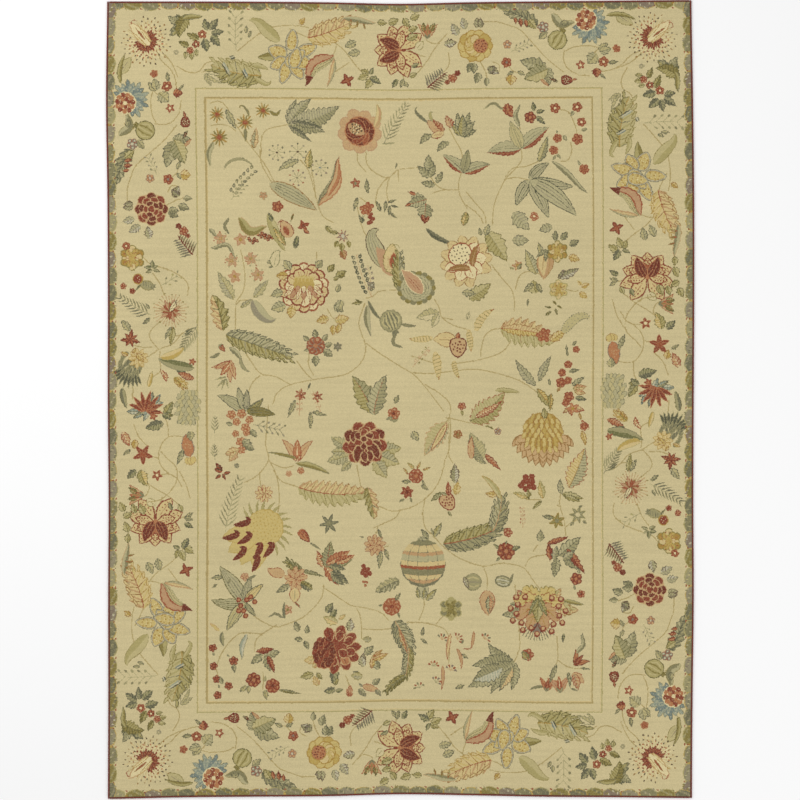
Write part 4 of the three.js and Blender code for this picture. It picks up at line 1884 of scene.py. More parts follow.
SIDE_MIDDLE_VINES: tuple[Spots, ...] = (
    ((655, 297), (640, 300), (630, 309), (624, 320), (625, 332), (634, 341), (640, 348)),
    ((624, 321), (634, 327), (641, 336), (642, 347), (637, 358), (629, 363), (618, 362), (612, 358)),
    ((611, 300), (615, 315), (622, 328)),
    ((642, 341), (655, 345), (662, 352)),
    ((652, 352), (662, 363), (667, 376)),
    ((632, 362), (633, 375), (637, 384)),
    ((641, 450), (652, 443), (661, 438)),
    ((641, 450), (628, 455), (618, 466)),
    ((642, 450), (650, 460), (650, 468), (640, 478)),
    ((648, 452), (660, 452), (670, 456)),
    ((640, 448), (641, 440), (640, 428), (651, 420), (652, 412)),
    ((613, 503), (613, 515), (622, 524), (635, 530), (650, 535), (660, 545)),
    ((668, 400), (666, 420), (662, 430)),
    ((636, 503), (641, 516), (648, 526)),
    ((612, 470), (622, 463), (630, 465)),
)

SIDE_MIDDLE: tuple[Placed, ...] = (
    at(star, 644, 324, 10, 12, ("red", "salmon", "ivory")),
    to(leaf, 660, 330, 654, 314, ("yellow", "olive", "olive_dark"), width=0.56, bend=-30),
    to(leaf, 665, 330, 674, 321, GREEN, width=0.56),
    at(star, 658, 345, 15, 21, ("red", "salmon", "brick"), width=0.5),
    to(leaf, 665, 360, 667, 350, GOLD, width=0.7),
    to(leaf, 678, 368, 671, 353, SALMON, width=0.5),
    to(leaf, 670, 350, 678, 345, SAGE, width=0.4),
    at(acorn, 611, 342, 80, 26, ("salmon", "tan", "mauve", "gold")),
    to(leaf, 617, 350, 624, 334, SLATE, width=0.3),
    *leaves(SAGE, (610, 368, 610, 358), width=0.8),
    at(cone, 611, 409, -88, 38, ("sage", "sage_dark", "slate")),
    to(leaf, 637, 376, 656, 371, GREEN, width=0.5, teeth=4),
    *leaves(("olive", "green", "olive_dark"), (638, 383, 627, 384), (636, 384, 627, 398), width=0.5, teeth=3),
    to(leaf, 638, 386, 629, 379, GREEN, width=0.5),
    at(star, 647, 383, 0, 9, ROSY),
    *leaves(BLUE, (647, 393, 637, 397), (652, 390, 657, 378), (660, 388, 674, 388), (645, 396, 640, 405),
        width=0.46),
    *leaves(("blue", "slate", "sage"), (657, 387, 668, 381), (650, 398, 647, 408), width=0.4),
    at(spread, 655, 388, 105, 24, ("red", "salmon", "maroon")),
    at(thistle, 667, 443, -72, 34, ("slate", "sage", "sage_dark", "slate_dark"), width=0.62),
    to(frond, 678, 412, 674, 392, ("slate", "olive_dark"), width=0.3, bend=-20),
    at(rosette, 662, 441, 150, 20, ("yellow", "gold", "slate")),
    *leaves(GOLD, (664, 446, 656, 437), (668, 446, 664, 452), (672, 444, 680, 447), width=0.5),
    to(plume, 626, 421, 612, 410, ("yellow", "gold", "olive"), width=0.4, pairs=3),
    to(frond, 652, 412, 648, 428, ("yellow", "olive"), width=0.3),
    *leaves(SALMON, (636, 427, 634, 417), (636, 424, 640, 430), width=0.5),
    *leaves(CORAL, (606, 420, 623, 428), width=0.34, bend=24),
    to(leaf, 611, 430, 624, 427, GREEN, width=0.3),
    to(frond, 606, 431, 641, 440, ("green", "slate"), width=0.26, bend=24),
    at(star, 608, 437, 0, 8, ROSY),
    to(frond, 640, 442, 617, 452, ("yellow", "olive_pale"), width=0.3, bend=-50),
    to(star_flower, 670, 460, 676, 451, MADDER),
    to(leaf, 671, 468, 679, 479, SAGE, width=0.5, bend=-20),
    to(fern, 603, 474, 618, 450, SAGE, pairs=7, reach=0.42, thick=2.0),
    to(leaf, 609, 469, 616, 464, ("slate_dark", "slate", "sage"), width=0.4),
    *leaves(OLIVE, (627, 472, 630, 453), width=0.3),
    *leaves(SAGE, (629, 472, 636, 459), width=0.3),
    at(burst, 630, 488, -60, 36, ("brick", "tan", "olive", "ivory", "umber")),
    to(fern, 649, 484, 681, 503, LICHEN, pairs=8, reach=0.3, thick=1.8, bend=16),
    *leaves(SLATE, (650, 481, 658, 475), (651, 490, 655, 496), width=0.4),
    at(bird_bud, 655, 515, 20, 22, ("slate", "olive", "red", "gold")),
    at(posy, 668, 508, 0, 6, ("red", "maroon", "red")),
    at(posy, 677, 513, 0, 6.5, CORAL),
    at(sprig, 640, 513, 150, 20, ("sage", "sage_dark", "olive_pale"), stalks=3),
    *leaves(("sage_dark", "green", "sage"), (647, 529, 640, 527), (648, 529, 655, 526), (648, 531, 642, 533),
        width=0.5),
    *leaves(GREEN, (649, 531, 656, 532), (648, 531, 648, 539), width=0.6),
    at(cluster, 668, 541, 0, 26, ("yellow", "gold", "brick", "olive")),
    at(posy, 674, 553, 0, 8, BRIGHT),
)

FIELD_VINES: tuple[Spots, ...] = (
    ((211, 104), (220, 102), (228, 108), (235, 122), (244, 137), (253, 149), (260, 158), (268, 170),
        (275, 184)),
    ((212, 126), (222, 125), (230, 127), (237, 132)),
    ((260, 150), (262, 165), (272, 184)),
    ((261, 157), (262, 140), (268, 130), (288, 125)),
    ((300, 160), (308, 170), (313, 187), (318, 207), (323, 217), (333, 223)),
    ((311, 167), (314, 185), (315, 198)),
    ((357, 152), (358, 162), (366, 172)),
    ((366, 151), (367, 164), (376, 173), (388, 177), (398, 169), (418, 167)),
    ((388, 176), (378, 188), (375, 202), (379, 211)),
    ((389, 177), (386, 190), (388, 203)),
    ((398, 169), (398, 181)),
    ((359, 197), (367, 203)),
    ((355, 199), (360, 222), (365, 235), (372, 239)),
    ((430, 177), (437, 186), (447, 190), (457, 190)),
    ((449, 128), (455, 140), (461, 152), (462, 166), (458, 183), (459, 195), (466, 209)),
    ((431, 193), (442, 190), (450, 190)),
    ((521, 150), (521, 160), (515, 169), (506, 178), (499, 190), (493, 206), (491, 226)),
    ((538, 162), (525, 167), (512, 169), (504, 178)),
    ((503, 180), (515, 178), (529, 181)),
    ((560, 110), (568, 113), (573, 122), (576, 133), (573, 143)),
    ((570, 143), (571, 152), (567, 161), (560, 162)),
    ((520, 130), (517, 122), (513, 116)),
    ((465, 192), (474, 203), (483, 214), (485, 224)),
    ((465, 205), (478, 216), (482, 224)),
    ((235, 330), (235, 310), (236, 302), (243, 290), (244, 272), (240, 250)),
    ((236, 305), (240, 301), (252, 300)),
    ((316, 252), (316, 262)),
    ((326, 308), (332, 318), (341, 320)),
    ((367, 238), (374, 240)),
    ((269, 297), (278, 291), (300, 290)),
    ((365, 298), (370, 297), (380, 291), (397, 290)),
    ((364, 303), (358, 322), (361, 335), (365, 348), (362, 360), (353, 370), (340, 376), (318, 379),
        (290, 385), (277, 393), (272, 405)),
    ((309, 352), (308, 365), (313, 376)),
    ((296, 361), (304, 372), (311, 379)),
    ((365, 343), (378, 353), (400, 367), (413, 375), (424, 387), (434, 400), (443, 412)),
    ((410, 373), (430, 374), (450, 372), (475, 370), (500, 375), (520, 382), (535, 392), (545, 402)),
    ((424, 385), (440, 395), (449, 405), (449, 417), (444, 424)),
    ((410, 356), (440, 366)),
    ((450, 365), (480, 360), (500, 353), (510, 342)),
    ((433, 299), (438, 308), (441, 318), (453, 326), (466, 330)),
    ((441, 318), (452, 320)),
    ((499, 329), (490, 331), (483, 338), (480, 352), (480, 358)),
    ((490, 265), (500, 278), (510, 290), (513, 300), (513, 312)),
    ((514, 290), (518, 277), (527, 272), (540, 275)),
    ((565, 290), (573, 292), (577, 291)),
    ((243, 350), (250, 361), (257, 371), (263, 375), (275, 377), (290, 385)),
    ((260, 376), (252, 383), (247, 395)),
    ((268, 405), (266, 430), (265, 446), (268, 459), (262, 470), (253, 478), (243, 483)),
    ((268, 460), (275, 474), (278, 490), (278, 505), (276, 517), (272, 525)),
    ((259, 472), (259, 480), (260, 488)),
    ((270, 463), (282, 468), (293, 466)),
    ((272, 470), (280, 481), (290, 485), (299, 488)),
    ((356, 466), (358, 477), (360, 487)),
    ((378, 507), (392, 512), (408, 509), (420, 503), (432, 492), (440, 478), (444, 462), (448, 450),
        (448, 430), (447, 418)),
    ((399, 512), (394, 519), (384, 524), (372, 529)),
    ((424, 500), (422, 514), (424, 528), (432, 537), (445, 550), (460, 560), (482, 567), (500, 564),
        (522, 568), (533, 582), (541, 592)),
    ((445, 418), (458, 421), (470, 424)),
    ((449, 417), (450, 435), (448, 455), (452, 464)),
    ((482, 567), (486, 578), (486, 590)),
    ((524, 567), (530, 558), (545, 555)),
    ((487, 493), (500, 497)),
    ((560, 492), (559, 505), (563, 520), (565, 536)),
    ((540, 500), (528, 500), (521, 497)),
    ((564, 528), (570, 523), (577, 520)),
    ((556, 505), (560, 508)),
    ((537, 545), (532, 552)),
    ((253, 616), (262, 622), (275, 627), (290, 623), (303, 617), (313, 608), (321, 597), (323, 585)),
    ((276, 625), (262, 634), (255, 641), (254, 652)),
    ((248, 633), (238, 634), (228, 643), (220, 655), (216, 668), (218, 676)),
    ((248, 633), (258, 634), (262, 636)),
    ((323, 588), (335, 596), (350, 606), (365, 609), (380, 614), (388, 622)),
    ((356, 609), (360, 620), (361, 640)),
    ((362, 630), (378, 631), (391, 630)),
    ((262, 672), (263, 680), (262, 690)),
    ((406, 624), (420, 624), (435, 627), (445, 632), (449, 645), (448, 665)),
    ((435, 626), (441, 619), (446, 614)),
    ((422, 592), (423, 608), (418, 622)),
    ((514, 585), (519, 640), (517, 655), (513, 663)),
    ((556, 636), (557, 650), (557, 660), (552, 672)),
    ((557, 660), (568, 667), (580, 669)),
    ((345, 676), (348, 684), (349, 690)),
    ((377, 527), (375, 536), (378, 541)),
    ((380, 549), (388, 547)),
)

FIELD: tuple[Placed, ...] = (
    # The left of the top quarter
    *(at(aster, x, y, 0, size, ("olive", "gold", "brick"))
        for x, y, size in ((218, 115, 17), (246, 123, 18), (264, 111, 17), (220, 138, 20))),
    to(frond, 250, 118, 237, 110, ("sage_dark", "olive"), width=0.12, bend=-60, curl=-150),
    to(leaf, 227, 110, 237, 130, SAGE, width=0.3),
    to(leaf, 254, 149, 257, 128, ("sage_dark", "tan", "olive_dark"), width=0.34),
    to(frond, 246, 129, 246, 142, ("sage_dark", "olive"), width=0.3),
    to(frond, 214, 142, 210, 168, ("sage_dark", "sage"), width=0.2, sway=20),
    to(frond, 270, 112, 285, 110, ("olive", "sage_dark"), width=0.24, sway=50),
    to(frond, 224, 170, 252, 168, ("sage", "sage_dark"), width=0.08, bend=130),
    at(seeds, 230, 198, -62, 40, ("cream", "slate", "sage_dark"), pairs=7, bend=26),
    at(sprig, 231, 200, -50, 18, ("sage", "sage_dark", "sage"), stalks=4),
    *(to(leaf, 289, 125, x, y, GREY, width=0.36, bend=bend)
        for x, y, bend in ((297, 100, 10), (311, 100, 24), (337, 107, -30), (324, 132, 20))),
    *leaves(("slate_dark", "slate", "grey"), (292, 122, 323, 128), (289, 126, 312, 142), width=0.2),
    at(umbel, 277, 153, 0, 17, ("slate", "grey", "umber")),
    at(umbel, 298, 152, 0, 18, ("slate_dark", "grey", "umber"), rays=8),
    at(umbel, 297, 178, 0, 17, ("mauve", "brick", "sage_dark")),
    at(umbel, 320, 168, 0, 17, ("slate", "mauve", "blue")),
    to(leaf, 299, 161, 279, 171, SAGE, width=0.3, bend=-36),
    to(leaf, 309, 169, 311, 150, ("yellow", "olive", "olive_dark"), width=0.36, bend=26),
    to(feather, 269, 184, 315, 210, ("sage_dark", "tan", "slate"), width=0.3, teeth=0, bend=14),
    to(ribbon, 318, 206, 340, 154, ("slate", "salmon", "umber"), width=0.3, sway=22),
    to(frond, 327, 197, 339, 156, ("salmon", "brick"), width=0.16, sway=16),
    at(posy, 263, 196, 0, 8, ("salmon", "sage", "rose_tan"), petals=5),
    # The large pink flower and what stands round it
    at(peony, 360, 131, -150, 46, ("shell", "rose_tan", "maroon", "salmon", "umber")),
    to(frond, 375, 126, 377, 105, ("tan", "olive_pale"), width=0.26, bend=-60),
    to(frond, 382, 143, 396, 142, ("sage", "sage"), width=0.16),
    to(fern, 384, 143, 408, 103, SAGE, pairs=9, reach=0.26, thick=1.6, bend=14),
    at(star, 355, 183, 10, 11, ("brick", "red", "sage_dark")),
    to(leaf, 367, 193, 366, 178, SLATE, width=0.3),
    *leaves(SAGE, (357, 197, 353, 211), (362, 223, 358, 214), (363, 222, 362, 215), width=0.3),
    *leaves(SAGE, (380, 211, 375, 200), (385, 200, 384, 212), (390, 205, 398, 207), (389, 212, 396, 218),
        width=0.3),
    *leaves(SAGE, (387, 202, 396, 199), (397, 162, 395, 168), (389, 205, 388, 216), width=0.3),
    at(berries, 366, 209, -70, 16, ("brick", "red", "sage"), count=9, high=0.8),
    at(berries, 370, 219, -80, 13, ("red", "maroon", "sage"), count=6),
    # The red bud with two tails, and the blue-grey spray
    to(petal_leaf, 443, 133, 427, 121, ("salmon", "red", "tan"), width=0.56, bend=-20),
    to(petal_leaf, 444, 132, 430, 136, ("tan", "red", "salmon"), width=0.5, bend=20),
    to(leaf, 444, 131, 432, 120, ("red", "brick", "tan"), width=0.3, bend=-30),
    to(frond, 428, 122, 418, 105, ("slate", "sage_dark"), width=0.16, bend=20, curl=100),
    to(frond, 433, 121, 434, 111, ("olive_pale", "sage"), width=0.3, bend=50, curl=110),
    *leaves(SLATE, (432, 134, 419, 144), (449, 142, 436, 152), width=0.4, sway=20),
    *(to(leaf, 429, 177, x, y, SLATE, width=0.46) for x, y in ((428, 154), (417, 165), (435, 164))),
    *leaves(SLATE, (436, 183, 442, 171), (434, 185, 420, 182), width=0.46),
    *(to(leaf, 462, 137, x, y, SLATE, width=0.36) for x, y in ((457, 112), (470, 112), (477, 130), (475,
        121))),
    *leaves(("olive", "slate", "sage"), (460, 136, 452, 122), (462, 137, 463, 114), width=0.36),
    to(leaf, 452, 128, 446, 115, ("rose_tan", "brick", "sage"), width=0.5),
    at(trio, 463, 173, -78, 28, ("sage_dark", "slate", "slate_dark", "red"), spread=48, width=0.42),
    at(trio, 521, 149, -112, 35, ("sage_dark", "sage", "slate", "red"), spread=62, width=0.42),
    # The right of the top quarter
    at(posy, 508, 110, 0, 11, ROSY),
    *leaves(RED, (508, 110, 508, 103), (508, 112, 513, 118), width=0.7),
    to(frond, 504, 110, 479, 109, ("sage_dark", "sage"), width=0.12, sway=46),
    *leaves(GREEN, (534, 112, 533, 102), (536, 113, 545, 111), (536, 117, 545, 125), width=0.46),
    to(frond, 519, 128, 520, 103, SLATE, width=0.18, sway=-30),
    at(posy, 530, 118, 0, 11.5, RED),
    *(at(posy, x, y, 0, size, BRIGHT) for x, y, size in ((555, 109, 10), (577, 108, 10), (581, 123, 9))),
    *(at(posy, x, y, 0, size, ("red", "salmon", "brick"))
        for x, y, size in ((577, 140, 11), (553, 151, 9), (583, 170, 10), (557, 139, 9))),
    *leaves(SLATE, (574, 112, 570, 117), (563, 136, 566, 142), (557, 134, 556, 131), (581, 131, 587, 130),
        width=0.6),
    *leaves(SLATE, (556, 155, 560, 159), (579, 166, 577, 161), (555, 156, 552, 161), width=0.5),
    to(frond, 551, 162, 585, 193, ("sage_dark", "slate"), width=0.12, bend=30, curl=-30),
    to(leaf, 538, 163, 547, 137, ("olive_pale", "slate", "olive"), width=0.28, bend=-10),
    *(to(feather, 529, 181, x, y, ("grey", "slate", "slate_dark"), width=width, teeth=0, bend=bend)
      for x, y, width, bend in ((547, 165, 0.42, 40), (571, 187, 0.3, -14), (516, 205, 0.42, -30),
          (547, 218, 0.34, 10), (573, 215, 0.3, 24))),
    at(posy, 533, 217, 0, 9, ("brick", "salmon", "ivory")),
    *leaves(("grey", "sage_dark", "sage"), (512, 213, 528, 231), (551, 227, 537, 231), (511, 241, 528, 241),
        width=0.6),
    *leaves(LICHEN, (554, 241, 554, 231), (560, 241, 566, 232), (568, 246, 578, 241), width=0.6),
    # The left of the upper middle
    *(at(star, x, y, 8, 14, ("rose_tan", "salmon", "gold"))
        for x, y in ((220, 239), (240, 240), (231, 261), (250, 259), (257, 275), (234, 277))),
    *(at(umbel, x, y, 8, 15, ("sage", "brick", "tan"), rays=7)
        for x, y in ((220, 239), (231, 261), (252, 260), (256, 275))),
    *(at(berries, x, y, 10, 12, ("maroon", "red", "sage"), count=6)
        for x, y in ((252, 241), (260, 235), (267, 238))),
    at(posy, 277, 207, 0, 11, ROSY, petals=5),
    to(frond, 209, 229, 216, 237, SLATE, width=0.4),
    to(frond, 228, 218, 229, 238, ("sage_dark", "slate"), width=0.18, sway=40),
    to(frond, 238, 218, 271, 228, ("olive", "tan"), width=0.26, bend=-30, sway=40),
    to(frond, 268, 213, 284, 250, ("olive_pale", "olive"), width=0.22, bend=-20),
    *leaves(GREEN, (272, 222, 268, 213), (294, 249, 297, 236), (297, 236, 294, 247), width=0.4),
    at(paisley, 288, 238, -96, 20, ("salmon", "red", "brick", "tan"), side=-1),
    *leaves(("yellow", "olive", "ochre"), (285, 246, 272, 226), (293, 214, 290, 222), width=0.26),
    at(star, 303, 226, 20, 13, CHERRY, petals=4),
    to(leaf, 303, 230, 309, 234, RED, width=0.6),
    to(frond, 210, 248, 242, 262, ("sage_dark", "slate"), width=0.12, sway=-50),
    *leaves(("grey", "sage", "olive"), (233, 300, 217, 272), (253, 298, 268, 280), (240, 308, 252, 299),
        width=0.34),
    to(frond, 252, 300, 275, 318, ("grey", "sage"), width=0.36, bend=-50, curl=-60),
    to(feather, 222, 330, 212, 297, ("tan", "olive", "olive_dark"), width=0.4, teeth=5, bend=-26),
    *leaves(SLATE, (279, 250, 272, 261), (266, 263, 275, 261), (268, 268, 274, 266), width=0.4),
    to(petal_leaf, 274, 268, 279, 251, ("cream", "green", "sage"), width=0.5, bend=50),
    # The wide scalloped flower
    at(frill_lotus, 303, 288, -90, 50, ("red", "rose_tan", "brick", "yellow", "salmon")),
    *leaves(SAGE, (290, 270, 283, 260), (282, 292, 270, 296), (285, 305, 270, 310), (315, 268, 322, 260),
        width=0.66),
    *leaves(GOLD, (287, 276, 275, 276), (291, 306, 290, 319), width=0.7),
    *leaves(("olive", "olive_dark", "sage"), (327, 272, 334, 264), (335, 277, 346, 271),
        (332, 280, 339, 277), width=0.6),
    *leaves(SAGE, (336, 292, 339, 284), (333, 305, 343, 312), (340, 300, 337, 312), width=0.66),
    *leaves(("yellow", "gold", "olive_pale"), (328, 318, 315, 322), (333, 325, 332, 336),
        (334, 321, 349, 318), (339, 324, 336, 334), width=0.6),
    to(leaf, 341, 250, 344, 260, ("ochre", "brick", "olive"), width=0.7),
    at(star, 342, 236, 10, 13, ("mauve", "brick", "pearl"), petals=8, width=0.3),
    *leaves(("olive", "olive_pale", "olive_dark"), (337, 241, 334, 248), (341, 243, 341, 252),
        (347, 241, 349, 248), width=0.7),
    *leaves(OLIVE, (337, 233, 328, 232), (325, 226, 332, 234), width=0.5),
    # The hooked drops in the middle of the top half
    to(leaf, 410, 200, 424, 196, SLATE, width=0.8, teeth=3),
    to(leaf, 426, 199, 405, 205, ("sage_dark", "slate", "brick"), width=0.5, teeth=3),
    *leaves(RED, (415, 194, 407, 191), (410, 203, 404, 206), width=0.44),
    to(leaf, 425, 203, 423, 223, ("slate", "sage_dark", "brick"), width=0.7, teeth=3),
    *leaves(RED, (428, 216, 423, 224), (421, 214, 424, 224), width=0.4),
    to(frond, 425, 228, 452, 243, ("slate_dark", "slate"), width=0.16, bend=-40),
    to(feather, 384, 268, 380, 226, ("grey", "mauve", "sage_dark", "sage_dark"), width=0.36, teeth=0,
        bend=10, curl=120),
    to(petal_leaf, 394, 276, 376, 248, ("brick", "tan", "red"), width=0.5, bend=-16),
    at(paisley, 396, 272, -118, 30, ("tan", "olive", "brick", "salmon"), side=1),
    to(plume, 399, 290, 398, 252, ("olive", "sage_dark", "olive_pale"), width=0.3, pairs=6, bend=12),
    at(scallop, 415, 288, 0, 38, ("sage_dark", "olive", "slate")),
    to(petal_leaf, 421, 294, 401, 270, ("brick", "ivory", "red"), width=0.44, bend=-16),
    to(seeds, 371, 297, 356, 256, ("tan", "slate_dark", "slate"), pairs=8, bend=20),
    to(seeds, 370, 295, 367, 266, ("tan", "mauve", "slate_dark"), pairs=5, bend=-16),
    at(posy, 371, 285, 0, 6, ("slate", "mauve", "pearl")),
    *leaves(OLIVE, (362, 302, 350, 304), (360, 303, 354, 299), width=0.3),
    to(frond, 367, 300, 381, 320, ("slate", "sage_dark"), width=0.14, bend=-34),
    to(frond, 366, 305, 370, 337, ("sage_dark", "grey"), width=0.2, sway=10),
    # The ochre blossom
    *leaves(("olive_pale", "olive", "sage_dark"), (486, 232, 506, 262), (468, 300, 490, 284), width=0.5,
        teeth=5),
    at(ochre_bloom, 465, 262, -130, 56, ("tan", "brick", "ochre", "umber", "salmon")),
    *leaves(SAGE, (461, 293, 475, 294), (484, 236, 488, 224), (480, 236, 478, 228), width=0.5),
    *leaves(("yellow", "olive", "ochre"), (465, 212, 463, 226), (462, 226, 466, 213), width=0.5),
    # The right of the upper middle
    at(star, 516, 266, 0, 11, ("tan", "brick", "gold"), petals=5),
    *leaves(("slate", "olive", "sage"), (516, 270, 521, 264), (513, 270, 508, 268), width=0.5),
    *leaves(("olive_pale", "sage_dark", "olive"), (535, 275, 524, 250), (541, 257, 537, 243), width=0.4),
    at(bud, 545, 252, 96, 28, ("tan", "ochre", "gold"), leaves=LICHEN),
    at(cluster, 556, 252, 0, 22, ("yellow", "gold", "ochre", "olive")),
    at(cluster, 557, 290, 0, 20, ("yellow", "straw", "ochre", "olive_pale")),
    to(leaf, 567, 257, 579, 261, GOLD, width=0.6),
    *leaves(("slate", "mauve", "sage"), (558, 279, 578, 269), (557, 280, 563, 270), width=0.36),
    *leaves(("yellow", "straw", "ochre"), (580, 286, 576, 281), (580, 288, 588, 284), (578, 293, 586, 299),
        width=0.6),
    to(leaf, 535, 294, 532, 281, OLIVE, width=0.9, bend=20),
    *leaves(SAGE, (532, 284, 522, 293), (535, 284, 541, 294), width=0.4),
    to(frond, 527, 299, 526, 307, SLATE, width=0.3),
    *leaves(OLIVE, (555, 305, 551, 301), (550, 308, 543, 307), (550, 312, 543, 316), (554, 309, 556, 316),
        (556, 306, 561, 309), width=0.36),
    # The left of the middle
    to(plume, 226, 335, 293, 358, ("sage_dark", "olive", "slate", "grey"), width=0.3, pairs=10, full=1.9),
    at(bud, 219, 345, 50, 9, RED, leaves=SLATE),
    to(frond, 219, 353, 210, 357, ("sage_dark", "slate"), width=0.3, bend=60),
    to(frond, 228, 348, 240, 361, ("sage_dark", "slate"), width=0.26, bend=50),
    to(frond, 240, 358, 249, 371, ("sage", "slate"), width=0.2, bend=-80),
    at(tulip, 231, 362, 128, 22, ("salmon", "red", "ivory"), leaves=ROSY),
    to(petal_leaf, 230, 361, 235, 380, ("salmon", "brick", "red"), width=0.3),
    to(petal_leaf, 228, 363, 214, 368, ("salmon", "brick", "red"), width=0.3),
    *leaves(("olive_pale", "sage", "sage"), (226, 378, 216, 388), (226, 377, 214, 380), (226, 379, 228, 389),
        (225, 379, 221, 390), width=0.16),
    at(posy, 315, 346, 0, 18, ("brick", "mauve", "salmon"), petals=9),
    *leaves(SLATE, (315, 338, 314, 329), (322, 341, 327, 334), (308, 341, 302, 336), (308, 350, 303, 351),
        width=0.66),
    *leaves(SLATE, (323, 350, 332, 357), (315, 356, 315, 367), (324, 346, 332, 344), width=0.66),
    at(star, 337, 347, 0, 10, ("slate", "mauve", "grey"), petals=6),
    # A round fruit of zigzag stripes gives way to a plain ribbed one
    at(globe, 390, 321, 70, 23, ("sage", "slate", "sage_dark", "pearl"), bands=9, crown="slate"),
    to(frond, 400, 324, 415, 326, SLATE, width=0.2, bend=-20),
    to(frond, 393, 333, 404, 352, ("sage_dark", "slate"), width=0.16, sway=50),
    # The berry pod and its banded leaves
    to(petal_leaf, 455, 342, 433, 340, ("tan", "ochre", "ochre"), width=0.66, bend=-20),
    *(to(banded, *span, ("yellow", "olive", "brick"), bend=bend, width=0.26) for span, bend in (
        ((432, 338, 409, 339), 20), ((434, 352, 438, 380), 10), ((453, 361, 458, 378), -30),
        ((467, 330, 470, 352), 10), ((475, 332, 491, 312), 60))),
    at(fruit, 457, 348, 92, 21, ("shell", "maroon", "red")),
    to(leaf, 456, 339, 458, 333, RED, width=0.8),
    *leaves(("cream", "sage", "sage_dark"), (438, 313, 415, 318), (437, 314, 431, 328), (466, 320, 468, 312),
        width=0.5, rim="sage_dark"),
    at(seeds, 412, 367, -50, 26, ("salmon", "rose_tan", "olive"), pairs=4),
    # The ochre leaf with the berries
    to(feather, 500, 329, 552, 342, ("tan", "olive_pale", "brick", "ochre"), width=0.42, teeth=9, bend=14),
    to(leaf, 500, 329, 546, 336, ("tan", "gold", "brick"), width=0.22, bend=14),
    at(berries, 542, 336, -80, 16, ("brick", "red", "tan"), count=9, high=0.9),
    to(leaf, 549, 342, 566, 329, GOLD, width=0.4),
    to(dotted, 562, 334, 588, 320, ("sage", "slate", "grey"), width=0.24, bend=60, curl=60),
    # The blossom branch and the grey pairs
    *leaves(("grey", "sage_dark", "slate"), (535, 386, 515, 361), (538, 382, 550, 357), width=0.26, bend=20),
    *(at(posy, x, y, 0, size, ROSY) for x, y, size in ((567, 365, 8), (561, 373, 8), (560, 383, 10), (567,
        381, 8), (568, 397, 10), (575, 350, 7))),
    *leaves(SLATE, (568, 372, 579, 370), (566, 352, 565, 345), (571, 386, 584, 377), (567, 357, 565, 350),
        width=0.34),
    *leaves(GREEN, (574, 398, 586, 400), (571, 346, 576, 341), (549, 386, 548, 379), width=0.4),
    *leaves(("salmon", "tan", "olive"), (572, 389, 586, 387), (573, 391, 585, 394), (556, 392, 560, 386),
        width=0.46),
    *leaves(("tan", "brick", "olive"), (572, 408, 584, 411), (568, 408, 562, 414), (568, 407, 571, 417),
        width=0.46),
    at(star, 572, 409, 0, 13, ("salmon", "brick", "gold")),
    *leaves(("gold", "olive", "ochre"), (536, 389, 552, 410), (550, 394, 549, 412), width=0.3),
    # The leaf pair and the red stars
    *leaves(("olive", "green", "brick"), (373, 414, 352, 377), width=0.44, teeth=6, bend=-14),
    *leaves(("sage_dark", "slate", "brick"), (373, 416, 385, 377), width=0.4, teeth=6, bend=24),
    at(star, 300, 395, 10, 13, ("brick", "red", "maroon"), petals=6, width=0.36),
    at(star, 317, 397, 0, 12, ("brick", "red", "maroon"), petals=6, width=0.36),
    at(seeds, 299, 416, -90, 26, ("salmon", "brick", "rose_tan"), pairs=4),
    at(seeds, 320, 412, -110, 22, ("salmon", "rose_tan", "brick"), pairs=4),
    *leaves(SAGE, (310, 383, 307, 390), (310, 412, 310, 430), (295, 400, 287, 418), (311, 412, 327, 416),
        width=0.24),
    # The spray of long leaves on the left
    *(to(feather, 246, 412, x, y, tones, width=0.34, teeth=0, bend=bend) for x, y, bend, tones in (
        (218, 396, -20, SLATE), (238, 388, 20, GREY), (247, 390, 10, ("grey", "sage_dark", "slate")),
        (262, 399, -30, ("olive", "slate", "slate_dark")),
        (274, 415, 20, ("olive_dark", "green", "slate")))),
    *(at(posy, x, y, 0, size, APRICOT) for x, y, size in (
        (231, 415, 9), (241, 414, 9), (249, 420, 8), (236, 422, 8), (245, 428, 9), (235, 434, 7),
        (246, 433, 7), (240, 442, 9), (241, 450, 8))),
    *leaves(SLATE, (232, 425, 225, 423), (250, 430, 256, 438), (242, 440, 252, 450), (244, 445, 254, 450),
        width=0.6),
    *leaves(("rose_tan", "tan", "olive_pale"), (238, 450, 224, 455), (236, 452, 228, 462), width=0.6),
    to(sprig, 253, 425, 280, 430, ("slate", "sage_dark", "grey"), stalks=5),
    at(posy, 236, 466, 0, 5, GREY),
    at(fern, 214, 434, -88, 18, SAGE, pairs=4, reach=0.4),
    at(fern, 214, 460, -92, 16, SAGE, pairs=4, reach=0.4),
    *leaves(("umber", "maroon", "brick"), (221, 472, 215, 463), (221, 472, 213, 469), (223, 474, 230, 472),
        (222, 474, 224, 480), (220, 475, 214, 479), width=0.5),
    to(fern, 224, 532, 240, 478, ("sage_dark", "sage", "sage"), pairs=10, reach=0.24, bend=16, thick=1.5),
    at(rosette, 263, 494, -60, 18, ("tan", "brick", "olive_pale")),
    at(dart_thistle, 262, 530, 135, 54, ("straw", "yellow", "maroon", "olive_pale")),
    # The tulip and the long ochre leaf
    at(tulip, 296, 461, -88, 27, SALMON, leaves=SALMON),
    to(frond, 296, 459, 268, 453, ("olive", "sage_dark"), width=0.12, bend=-16),
    to(frond, 295, 464, 327, 474, ("olive", "sage_dark"), width=0.16, bend=34),
    at(posy, 288, 474, 0, 6, ("rose_tan", "salmon", "tan")),
    at(posy, 300, 471, 0, 7, APRICOT),
    to(feather, 298, 488, 368, 492, ("tan", "olive_pale", "brick", "olive_pale"), width=0.28, teeth=11,
        bend=-28),
